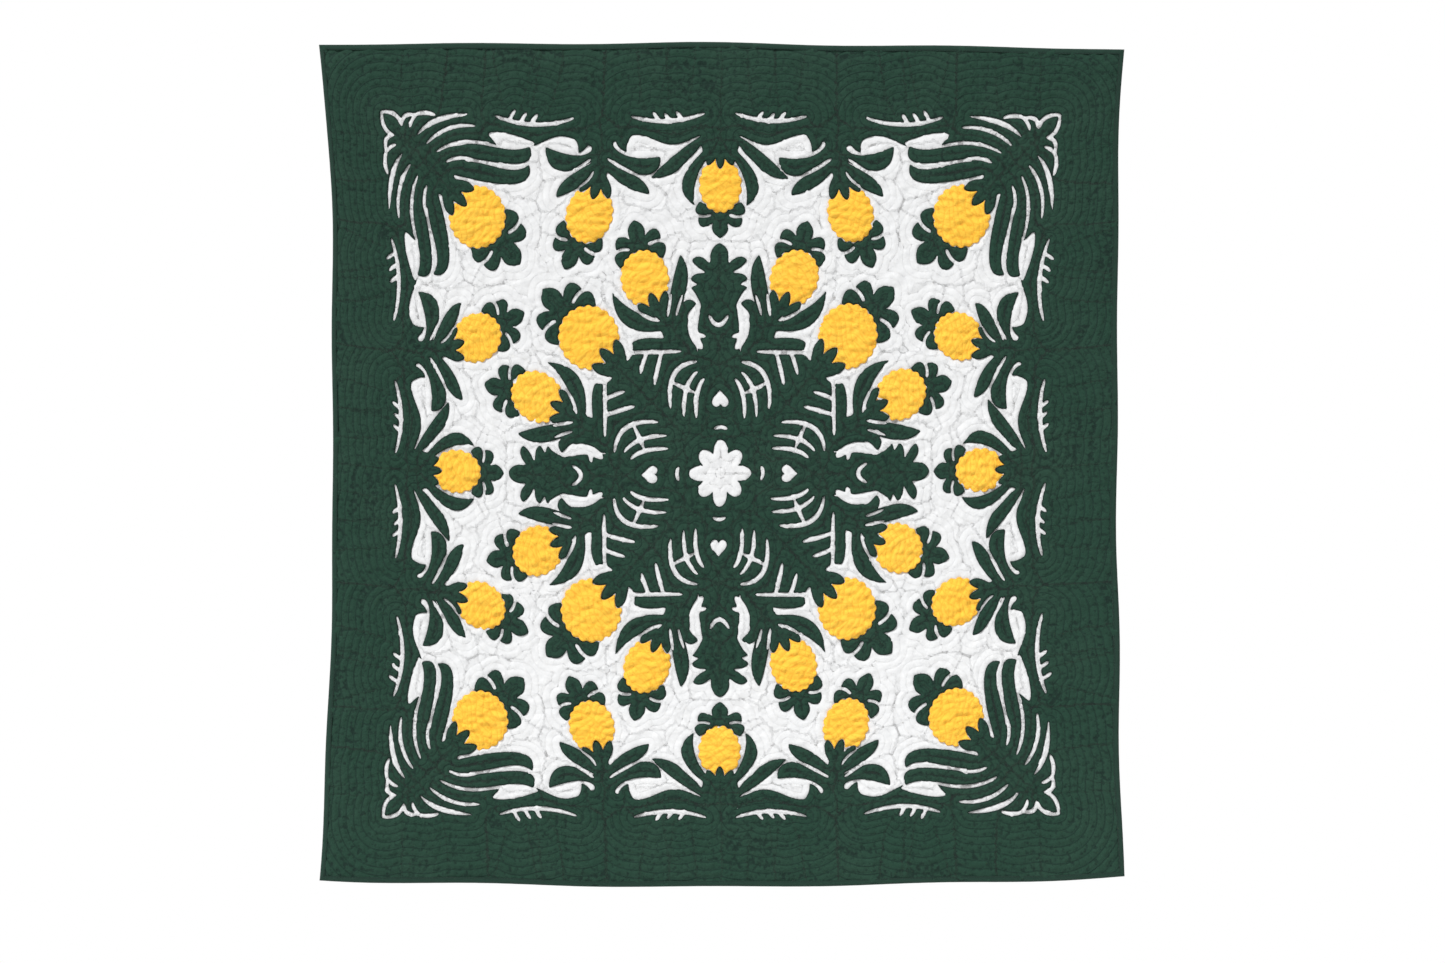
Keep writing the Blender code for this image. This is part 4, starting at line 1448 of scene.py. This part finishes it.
@dataclass(frozen=True)
class Binding:
    """The narrow strip folded over the edge, front to back, and mitred at the corners."""

    width: float = 7.0
    thick: float = 1.0
    edge_in: float = 0.1
    corner_cut: float = 0.25
    corner_passes: int = 2
    steps: int = 290
    wrinkle: float = 0.14
    wrinkle_seed: int = 5
    wrinkle_counts: tuple[int, ...] = (40, 92, 171, 263)
    sewn_width: float = 0.4
    sewn_share: float = 0.5
    flat_width: float = 0.022

    def front(self, inset: float) -> float:
        """The level of the sewn-on cloth's face, this far inside the edge."""
        return BODY_EDGE + (BODY_FACE - BODY_EDGE) * inset / RAMP + APART + CLOTH_THICK

    def profile(self) -> np.ndarray:
        """The strip's section as (inset, level) points, its corners rounded twice.

        Returns:
            One (inset, level) a row, in millimetres.
        """
        corners = np.array(
            [
                (self.width, self.front(self.width) + APART),
                (self.width, self.front(self.width) + BODY_INSET),
                (0.0, self.front(0.0) + BODY_INSET - self.edge_in),
                (0.0, self.edge_in - BODY_INSET),
                (self.width, -BODY_INSET),
                (self.width, -APART),
                (self.thick, -APART),
                (self.thick, self.front(0.0) + APART),
            ]
        )
        near, far = 1 - self.corner_cut, self.corner_cut
        for _ in range(self.corner_passes):
            after = np.roll(corners, -1, axis=0)
            pairs = np.stack([corners * near + after * far, corners * far + after * near], axis=1)
            corners = pairs.reshape(-1, 2)
        return corners

    def build(self, finish: bpy.types.Material) -> bpy.types.Object:
        """The binding, with the slight puckers of its hand-sewn edge.

        Args:
            finish: The material.

        Returns:
            The object.
        """
        profile = self.profile()
        rows, uv = [], []
        around = 4 * self.steps
        along = np.linspace(0, 4, around, endpoint=False)
        rng = np.random.default_rng(self.wrinkle_seed)
        pucker = np.zeros(around)
        for waves in self.wrinkle_counts:
            pucker += np.sin(2 * math.pi * (waves * along / 4 + rng.uniform()))
        for i, (inset, level) in enumerate(profile):
            share = 1.0 if inset < self.width - self.sewn_width else self.sewn_share
            out = np.sign(level - HUNG.mount_level)
            points = edge_ring(inset, self.steps)
            rows.append(HUNG.place(points, level + self.wrinkle * share * out * pucker))
            uv.append(np.stack([along / 4, np.full(around, i / len(profile))], axis=1))
        count = len(profile)
        here = np.arange(around)
        after = np.roll(here, -1)
        faces = []
        for i in range(count):
            a, b = i * around, (i + 1) % count * around
            faces.append(np.stack([here + a, here + b, after + b], axis=1))
            faces.append(np.stack([here + a, after + b, after + a], axis=1))
        run = np.tile(along * 2 * HALF_CLOTH, count)
        values = {"run": run, "inset": np.repeat(profile[:, 0], around)}
        places, triangles = np.concatenate(rows), np.concatenate(faces)
        piece = built("bound_edge", places, triangles, np.concatenate(uv), values, finish)
        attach(piece, "root")
        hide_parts("binding")
        return piece


class Graph:
    """A small helper that places and joins nodes in one node tree.

    The Mix node's sockets are the share and the two colours, and its mixed colour.
    """

    mix_inputs: tuple[int, ...] = (0, 6, 7)
    mix_output: int = 2

    def __init__(self, tree: bpy.types.NodeTree) -> None:
        """Keeps the tree.

        Args:
            tree: The node tree of a material or a group.
        """
        self.tree = tree

    def node(self, kind: str, **settings: object) -> bpy.types.Node:
        """A new node with these settings.

        Args:
            kind: The node's type.
            settings: Values by property.

        Returns:
            The node.
        """
        made = self.tree.nodes.new(kind)
        for key, value in settings.items():
            setattr(made, key, value)
        return made

    def feed(self, socket: bpy.types.NodeSocket, value: object) -> None:
        """Joins a socket to another one, or sets its value.

        Args:
            socket: The input socket.
            value: The output socket or the value.
        """
        if isinstance(value, bpy.types.NodeSocket):
            self.tree.links.new(value, socket)
        else:
            socket.default_value = value

    def maths(self, operation: str, *values: object) -> bpy.types.NodeSocket:
        """The result of a Math node.

        Args:
            operation: Its operation.
            values: Sockets or values, in the node's order.

        Returns:
            The node's output socket.
        """
        made = self.node("ShaderNodeMath", operation=operation)
        for socket, value in zip(made.inputs, values):
            self.feed(socket, value)
        return made.outputs[0]

    def ramp(
        self, value: object, low: float, high: float, start: float, end: float
    ) -> bpy.types.NodeSocket:
        """A value moved smoothly from one range to another.

        Args:
            value: The socket or value.
            low: Where the first range starts.
            high: Where it ends.
            start: What its start becomes.
            end: What its end becomes.

        Returns:
            The node's output socket.
        """
        made = self.node("ShaderNodeMapRange", interpolation_type="SMOOTHSTEP")
        for socket, given in zip(made.inputs, (value, low, high, start, end)):
            self.feed(socket, given)
        return made.outputs[0]

    def mix(self, share: object, first: object, second: object) -> bpy.types.NodeSocket:
        """Two colours mixed by a share.

        Args:
            share: The second colour's share.
            first: The first colour.
            second: The second colour.

        Returns:
            The node's output socket.
        """
        made = self.node("ShaderNodeMix", data_type="RGBA")
        for socket, given in zip(self.mix_inputs, (share, first, second)):
            self.feed(made.inputs[socket], given)
        return made.outputs[self.mix_output]

    def noise(self, vector: object, scale: float, detail: float = 2.0) -> bpy.types.NodeSocket:
        """The factor of a Noise texture.

        Args:
            vector: Where it is read.
            scale: Its scale.
            detail: How fine it gets.

        Returns:
            The node's output socket.
        """
        made = self.node("ShaderNodeTexNoise")
        self.feed(made.inputs["Vector"], vector)
        made.inputs["Scale"].default_value = scale
        made.inputs["Detail"].default_value = detail
        return made.outputs["Fac"]

    def vector(self, x: object, y: object, z: object = 0.0) -> bpy.types.NodeSocket:
        """A vector from three values.

        Args:
            x: The first.
            y: The second.
            z: The third.

        Returns:
            The node's output socket.
        """
        made = self.node("ShaderNodeCombineXYZ")
        for socket, value in zip(made.inputs, (x, y, z)):
            self.feed(socket, value)
        return made.outputs[0]

    def value(self, name: str) -> bpy.types.NodeSocket:
        """A value that the mesh carries at its points."""
        return self.node("ShaderNodeAttribute", attribute_name=name).outputs["Fac"]

    def group(self, tree: bpy.types.NodeTree, **values: object) -> bpy.types.Node:
        """A shared group placed here with its own values.

        Args:
            tree: The group.
            values: Sockets or values by input, with _ for a space.

        Returns:
            The group's node.
        """
        made = self.node("ShaderNodeGroup", node_tree=tree)
        for key, value in values.items():
            self.feed(made.inputs[key.replace("_", " ")], value)
        return made


def new_group(
    name: str, inputs: dict[str, str], outputs: dict[str, str]
) -> tuple[Graph, bpy.types.Node, bpy.types.Node]:
    """An empty shader group.

    Args:
        name: The group's name.
        inputs: Socket kinds by name.
        outputs: Socket kinds by name.

    Returns:
        Its graph, its input node and its output node.
    """
    tree = bpy.data.node_groups.new(name, "ShaderNodeTree")
    for side, sockets in (("INPUT", inputs), ("OUTPUT", outputs)):
        for title, kind in sockets.items():
            tree.interface.new_socket(name=title, in_out=side, socket_type=f"NodeSocket{kind}")
    graph = Graph(tree)
    return graph, graph.node("NodeGroupInput"), graph.node("NodeGroupOutput")


class SharedGroups:
    """The effects that more than one finish uses, each built once as a node group.

    A range is where an effect starts and ends, in millimetres or as a share.
    """

    slub_long: float = 0.12
    slub_thin: float = 2.2
    groove_range: Point = (0.0, 1.5)
    thread_range: Point = (0.3, 0.6)
    dash_range: Point = (0.2, 0.3)
    crease_shade_range: Point = (0.38, 0.46)
    fold_shade_range: Point = (0.38, 0.47)
    fold_shade_share: float = 0.7
    pucker_along: float = 0.15
    pucker_across: float = 0.045
    rough_scale: float = 0.16
    near_groove: Point = (0.4, 0.6)
    drawn_height: float = 1.6
    patch_scale: float = 0.011
    patch_range: Point = (0.35, 0.7)
    patch_share: float = 0.55
    speck_scale: float = 0.35
    speck_range: Point = (0.5, 0.75)
    speck_share: float = 0.45

    def __init__(self) -> None:
        """Builds the groups."""
        self.weave = self.build_weave()
        self.stitching = self.build_stitching()
        self.pucker = self.build_pucker()
        self.wear = self.build_wear()

    def build_weave(self) -> bpy.types.NodeTree:
        """A plain weave: threads over and under, and slubs that run along them.

        Returns:
            The group.
        """
        graph, source, sink = new_group(
            "weave", {"Vector": "Vector", "Threads": "Float"}, {"Height": "Float", "Shade": "Float"}
        )
        split = graph.node("ShaderNodeSeparateXYZ")
        graph.feed(split.inputs[0], source.outputs["Vector"])
        x, y = split.outputs[0], split.outputs[1]
        turns = graph.maths("MULTIPLY", source.outputs["Threads"], math.pi)
        over = graph.maths("SINE", graph.maths("MULTIPLY", x, turns))
        under = graph.maths("SINE", graph.maths("MULTIPLY", y, turns))
        cross = graph.maths("MULTIPLY_ADD", graph.maths("MULTIPLY", over, under), 0.5, 0.5)
        slubs = [
            graph.noise(graph.vector(graph.maths("MULTIPLY", x, a), graph.maths("MULTIPLY", y, b)), 1.0)
            for a, b in ((self.slub_long, self.slub_thin), (self.slub_thin, self.slub_long))
        ]
        slub = graph.maths("ADD", *slubs)
        height = graph.maths("MULTIPLY_ADD", slub, 0.5, graph.maths("MULTIPLY", cross, 0.5))
        graph.feed(sink.inputs["Height"], height)
        graph.feed(sink.inputs["Shade"], graph.maths("MULTIPLY", slub, 0.5))
        return graph.tree

    def build_stitching(self) -> bpy.types.NodeTree:
        """A row of running stitches in a groove at every step of a distance.

        Returns:
            The group.
        """
        graph, source, sink = new_group(
            "stitching",
            {"Distance": "Float", "Run": "Float", "Pitch": "Float", "Stitch": "Float"},
            {"Groove": "Float", "Thread": "Float"},
        )
        rows = graph.maths("DIVIDE", source.outputs["Distance"], source.outputs["Pitch"])
        off = graph.maths("PINGPONG", rows, 0.5)
        gap = graph.maths("MULTIPLY", off, source.outputs["Pitch"])
        stitches = graph.maths("DIVIDE", source.outputs["Run"], source.outputs["Stitch"])
        dash = graph.ramp(graph.maths("PINGPONG", stitches, 0.5), *self.dash_range, 0.0, 1.0)
        thread = graph.ramp(gap, *self.thread_range, 1.0, 0.0)
        graph.feed(sink.inputs["Groove"], graph.ramp(gap, *self.groove_range, 1.0, 0.0))
        graph.feed(sink.inputs["Thread"], graph.maths("MULTIPLY", thread, dash))
        return graph.tree

    def build_pucker(self) -> bpy.types.NodeTree:
        """Fine wrinkles across the stitch lines, where thread draws the cloth up, and a mask of painted
        shade in their creases and folds.

        Returns:
            The group.
        """
        graph, source, sink = new_group(
            "pucker",
            {"Vector": "Vector", "Distance": "Float", "Run": "Float", "Groove": "Float"},
            {"Height": "Float", "Shade": "Float"},
        )
        across = graph.vector(
            graph.maths("MULTIPLY", source.outputs["Run"], self.pucker_along),
            graph.maths("MULTIPLY", source.outputs["Distance"], self.pucker_across),
        )
        drawn = graph.noise(across, 1.0, 3.0)
        rough = graph.noise(source.outputs["Vector"], self.rough_scale, 4.0)
        near = graph.maths("MULTIPLY_ADD", source.outputs["Groove"], *self.near_groove)
        pulled = graph.maths("MULTIPLY", drawn, near)
        height = graph.maths("MULTIPLY_ADD", pulled, self.drawn_height, rough)
        graph.feed(sink.inputs["Height"], height)
        broken = graph.maths("MULTIPLY_ADD", rough, 0.5, graph.maths("MULTIPLY", drawn, 0.5))
        # Painted shade: a mask that darkens the colour in the wrinkles' creases and in the low folds of
        # the rough noise.
        crease_shade = graph.ramp(broken, *self.crease_shade_range, 1.0, 0.0)
        fold_shade = graph.ramp(rough, *self.fold_shade_range, self.fold_shade_share, 0.0)
        graph.feed(sink.inputs["Shade"], graph.maths("MAXIMUM", crease_shade, fold_shade))
        return graph.tree

    def build_wear(self) -> bpy.types.NodeTree:
        """A colour that is faded in soft patches and lighter in fine specks.

        Returns:
            The group.
        """
        graph, source, sink = new_group(
            "wear",
            {"Vector": "Vector", "Colour": "Color", "Faded": "Color", "Amount": "Float"},
            {"Colour": "Color", "Mask": "Float"},
        )
        spot = source.outputs["Vector"]
        patch = graph.ramp(graph.noise(spot, self.patch_scale, 3.0), *self.patch_range, 0.0, 1.0)
        speck = graph.ramp(graph.noise(spot, self.speck_scale, 3.0), *self.speck_range, 0.0, 1.0)
        specks = graph.maths("MULTIPLY", speck, self.speck_share)
        both = graph.maths("MULTIPLY_ADD", patch, self.patch_share, specks)
        mask = graph.maths("MULTIPLY", both, source.outputs["Amount"])
        colour = graph.mix(mask, source.outputs["Colour"], source.outputs["Faded"])
        graph.feed(sink.inputs["Colour"], colour)
        graph.feed(sink.inputs["Mask"], both)
        return graph.tree


@dataclass(frozen=True)
class ClothFinish:
    """A cotton cloth: its colours, with painted shade in its grooves, creases and along its sewn edges,
    its roughness and how strongly its surface shows.
    """

    name: str
    colour: Colour
    faded: Colour
    # The painted shade colour: grooves, creases and sewn edges are darkened towards it.
    painted_shade: Colour
    thread: Colour
    wear: float = 0.5
    # How strongly the quilting grooves are darkened with painted shade.
    groove_shade: float = 0.5
    threads: float = 2.4
    roughness: float = 0.86
    roughness_spread: float = 0.12
    sheen: float = 0.25
    sheen_roughness: float = 0.5
    specular: float = 0.25
    stitch: float = 5.2
    thread_height: float = 0.25
    fleck: float = 0.25
    fleck_range: Point = (0.55, 0.7)
    groove: float = 0.5
    pucker: float = 0.35
    weave: float = 0.06
    # How strongly the wrinkles' creases and folds are darkened with painted shade.
    crease_shade: float = 0.3
    # How strongly, and how far from the sewn edges, the cloth is darkened with painted shade.
    rim: float = 0.6
    rim_shade_width: float = 1.7
    rim_shade_start: float = 0.2

    def lines(self, graph: Graph, groups: SharedGroups) -> tuple[object, object]:
        """The groove and thread masks of the echo quilting.

        Args:
            graph: The material's graph.
            groups: The shared node groups.

        Returns:
            The two masks.
        """
        echo, run = graph.value("echo"), graph.value("run")
        made = graph.group(groups.stitching, Distance=echo, Run=run, Pitch=ECHO.pitch, Stitch=self.stitch)
        return made.outputs["Groove"], made.outputs["Thread"]

    def make(self, groups: SharedGroups) -> bpy.types.Material:
        """The material.

        Args:
            groups: The shared node groups.

        Returns:
            The material, named after the finish.
        """
        finish = bpy.data.materials.new(self.name)
        finish.use_nodes = True
        graph = Graph(finish.node_tree)
        shader = finish.node_tree.nodes["Principled BSDF"]
        uv = graph.node("ShaderNodeUVMap", uv_map="UVMap").outputs[0]
        scaled = graph.node("ShaderNodeVectorMath", operation="SCALE")
        graph.feed(scaled.inputs[0], uv)
        scaled.inputs["Scale"].default_value = 2 * HALF_CLOTH
        spot = scaled.outputs[0]
        groove, thread = self.lines(graph, groups)
        weave = graph.group(groups.weave, Vector=spot, Threads=self.threads)
        echo, run = graph.value("echo"), graph.value("run")
        pucker = graph.group(groups.pucker, Vector=spot, Distance=echo, Run=run, Groove=groove)
        wear = graph.group(
            groups.wear, Vector=spot, Colour=(*self.colour, 1), Faded=(*self.faded, 1), Amount=self.wear
        )
        # Painted shade: darker in the quilting grooves, in the wrinkles' creases and folds, and along the
        # sewn edges, mixed towards the painted shade colour.
        edge = graph.ramp(echo, self.rim_shade_start, self.rim_shade_width, self.rim, 0.0)
        groove_shading = graph.maths("MULTIPLY", groove, self.groove_shade)
        drawn = graph.maths("MULTIPLY", pucker.outputs["Shade"], self.crease_shade)
        shade = graph.maths("MAXIMUM", graph.maths("MAXIMUM", groove_shading, drawn), edge)
        colour = graph.mix(shade, wear.outputs["Colour"], (*self.painted_shade, 1))
        slubs = graph.ramp(weave.outputs["Shade"], *self.fleck_range, 0.0, 1.0)
        colour = graph.mix(graph.maths("MULTIPLY", slubs, self.fleck), colour, (*self.faded, 1))
        graph.feed(shader.inputs["Base Color"], graph.mix(thread, colour, (*self.thread, 1)))
        spread, smoothest = self.roughness_spread, self.roughness - self.roughness_spread / 2
        rough = graph.maths("MULTIPLY_ADD", weave.outputs["Height"], spread, smoothest)
        graph.feed(shader.inputs["Roughness"], rough)
        shader.inputs["Sheen Weight"].default_value = self.sheen
        shader.inputs["Sheen Roughness"].default_value = self.sheen_roughness
        shader.inputs["Specular IOR Level"].default_value = self.specular
        height = graph.maths("MULTIPLY", groove, -self.groove)
        height = graph.maths("MULTIPLY_ADD", pucker.outputs["Height"], self.pucker, height)
        height = graph.maths("MULTIPLY_ADD", weave.outputs["Height"], self.weave, height)
        height = graph.maths("MULTIPLY_ADD", thread, self.thread_height, height)
        bump = graph.node("ShaderNodeBump")
        bump.inputs["Strength"].default_value = 1.0
        bump.inputs["Distance"].default_value = MM
        graph.feed(bump.inputs["Height"], height)
        graph.feed(shader.inputs["Normal"], bump.outputs[0])
        return finish


@dataclass(frozen=True)
class FruitFinish(ClothFinish):
    """The pineapples' cloth, stitched in a slanting net."""

    stitch: float = 4.6

    def lines(self, graph: Graph, groups: SharedGroups) -> tuple[object, object]:
        """The groove and thread masks of the two crossing sets of lines.

        Args:
            graph: The material's graph.
            groups: The shared node groups.

        Returns:
            The two masks.
        """
        nets = [graph.value("net_a"), graph.value("net_b")]
        made = [
            graph.group(groups.stitching, Distance=near, Run=other, Pitch=NET_PITCH, Stitch=self.stitch)
            for near, other in (nets, nets[::-1])
        ]
        groove = graph.maths("MAXIMUM", *[m.outputs["Groove"] for m in made])
        return groove, graph.maths("MAXIMUM", *[m.outputs["Thread"] for m in made])


@dataclass(frozen=True)
class BindingFinish(ClothFinish):
    """The binding's cloth, stitched down along its inner edge."""

    stitch: float = 4.0
    seam_inset: float = 6.2
    one_row: float = 40.0

    def lines(self, graph: Graph, groups: SharedGroups) -> tuple[object, object]:
        """The groove and thread masks of the one row of stitches.

        Args:
            graph: The material's graph.
            groups: The shared node groups.

        Returns:
            The two masks.
        """
        off = graph.maths("ABSOLUTE", graph.maths("SUBTRACT", graph.value("inset"), self.seam_inset))
        run = graph.value("run")
        settings = {"Distance": off, "Run": run, "Pitch": self.one_row, "Stitch": self.stitch}
        made = graph.group(groups.stitching, **settings)
        return made.outputs["Groove"], made.outputs["Thread"]


@dataclass(frozen=True)
class Studio:
    """Pale floor, soft light and the camera that looks straight at the quilt."""

    eye: tuple[float, float, float] = (0.0014, -4.5, -0.6139)
    lens: float = 80.0
    floor_z: float = -1.5
    floor_half: float = 2.4
    floor_back: float = 0.8
    floor_front: float = -3.6
    pale: float = 0.86
    floor_roughness: float = 0.9
    seen_sky: float = 1.0
    soft_sky: float = 0.52
    key_strength: float = 3.1
    key_softness: float = 9.0
    key_way: tuple[float, float, float] = (-0.42, -0.62, 0.88)

    def floor(self) -> None:
        """A plain pale floor below the quilt."""
        finish = bpy.data.materials.new("studio_floor")
        finish.use_nodes = True
        shader = finish.node_tree.nodes["Principled BSDF"]
        shader.inputs["Base Color"].default_value = (self.pale, self.pale, self.pale, 1)
        shader.inputs["Roughness"].default_value = self.floor_roughness
        corners = [
            (x, y, self.floor_z)
            for x, y in (
                (-self.floor_half, self.floor_front),
                (self.floor_half, self.floor_front),
                (self.floor_half, self.floor_back),
                (-self.floor_half, self.floor_back),
            )
        ]
        mesh = bpy.data.meshes.new("studio_floor")
        mesh.from_pydata(corners, [], [(0, 1, 2, 3)])
        mesh.materials.append(finish)
        item = bpy.data.objects.new("studio_floor", mesh)
        bpy.context.scene.collection.objects.link(item)

    def light(self) -> None:
        """One broad far lamp from the upper left, and a pale sky that looks white."""
        lamp = bpy.data.lights.new("key_light", "SUN")
        lamp.energy = self.key_strength
        lamp.angle = math.radians(self.key_softness)
        item = bpy.data.objects.new("key_light", lamp)
        item.rotation_euler = Vector(self.key_way).to_track_quat("Z", "Y").to_euler()
        bpy.context.scene.collection.objects.link(item)
        world = bpy.data.worlds.new("studio")
        world.use_nodes = True
        graph = Graph(world.node_tree)
        seen = graph.node("ShaderNodeLightPath").outputs["Is Camera Ray"]
        sky = graph.maths("MULTIPLY_ADD", seen, self.seen_sky - self.soft_sky, self.soft_sky)
        back = world.node_tree.nodes["Background"]
        back.inputs["Color"].default_value = (1, 1, 1, 1)
        graph.feed(back.inputs["Strength"], sky)
        bpy.context.scene.world = world
        bpy.context.scene.view_settings.view_transform = "Standard"

    def camera(self) -> None:
        """The camera at the photograph's viewing angle."""
        lens = bpy.data.cameras.new("camera")
        lens.lens = self.lens
        item = bpy.data.objects.new("camera", lens)
        item.location = self.eye
        item.rotation_euler = (math.pi / 2, 0, 0)
        bpy.context.scene.collection.objects.link(item)
        bpy.context.scene.camera = item


def finishes(groups: SharedGroups) -> dict[str, bpy.types.Material]:
    """The four cloth finishes by slot.

    Args:
        groups: The shared node groups.

    Returns:
        Materials by slot name.
    """
    # Each finish's colours are its own colour, its faded colour, its painted shade colour for grooves,
    # creases and sewn edges, and its thread colour.
    made = {
        "white_cloth": ClothFinish(
            "white_cotton", (0.725, 0.73, 0.735), (0.76, 0.76, 0.76), (0.48, 0.49, 0.51),
            (0.75, 0.75, 0.74), wear=0.5, groove_shade=0.22, pucker=0.8, crease_shade=0.1, rim=0.15,
            rim_shade_width=1.0, sheen=0.05,
        ),
        "green_cloth": ClothFinish(
            "green_cotton", (0.0105, 0.042, 0.026), (0.022, 0.056, 0.037), (0.002, 0.011, 0.009),
            (0.010, 0.036, 0.025), wear=0.5, groove_shade=0.6, pucker=2.1, crease_shade=0.7, rim=0.95,
            rim_shade_width=2.6, sheen=0.06,
        ),
        "yellow_cloth": FruitFinish(
            "yellow_cotton", (0.92, 0.52, 0.05), (0.94, 0.60, 0.09), (0.80, 0.28, 0.015),
            (0.90, 0.48, 0.04), wear=0.5, groove_shade=0.3, pucker=1.2, crease_shade=0.55, rim=0.35, sheen=0.05,
        ),
        "binding_cloth": BindingFinish(
            "binding_cotton", (0.010, 0.038, 0.025), (0.020, 0.052, 0.036), (0.004, 0.018, 0.012),
            (0.012, 0.036, 0.026), wear=0.4, groove_shade=0.5, pucker=0.8, rim=0.0, sheen=0.08,
        ),
    }
    return {slot: finish.make(groups) for slot, finish in made.items()}


def main() -> None:
    """Builds the looks of the quilt piece by piece, and the studio round it."""
    logging.basicConfig(level=logging.INFO, format="%(message)s")
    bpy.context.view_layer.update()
    looks = finishes(SharedGroups())
    pineapples = all_pineapples()
    of_frame = [p for p in pineapples if p.name.startswith("frame")]
    of_centre = [p for p in pineapples if p.name.startswith("centre")]
    border = GreenFrame().outlines(of_frame)
    centre = Centrepiece().outlines(of_centre)
    cloths = border + centre
    for pineapple in pineapples:
        cloths = cloths + pineapple.fruit_outlines() + pineapple.crown_outlines()
    sewn_edges = [outline for outline in cloths if is_sewn(outline)]
    log.info("outlines: %d of the frame, %d of the centrepiece", len(border), len(centre))
    body = QuiltBody().build(cloths, Seams(sewn_edges), looks["white_cloth"])
    log.info("%s: %d triangles", body.name, len(body.data.polygons))
    sewn = SewnCloth()
    for name, outlines, node in (
        ("frame_cloth", border, "green_frame"),
        ("centre_cloth", centre, "centrepiece"),
    ):
        seams = Seams([outline for outline in outlines if is_sewn(outline)])
        points, faces = filled(outlines, sewn.spots(outlines, seams, snap=True))
        piece = sewn.surface(outlines, seams, points, faces).build(name, looks["green_cloth"])
        dressed(piece, outlines, "green_cloth", node)
        log.info("%s: %d triangles", piece.name, len(piece.data.polygons))
    for pineapple in pineapples:
        fruit = pineapple.add_fruit(looks["yellow_cloth"])
        crown = pineapple.add_crown(looks["green_cloth"])
        log.info("%s: %d triangles", pineapple.name, len(fruit.data.polygons) + len(crown.data.polygons))
    edge = Binding().build(looks["binding_cloth"])
    log.info("%s: %d triangles", edge.name, len(edge.data.polygons))
    studio = Studio()
    studio.floor()
    studio.light()
    studio.camera()


if __name__ == "__main__":
    main()
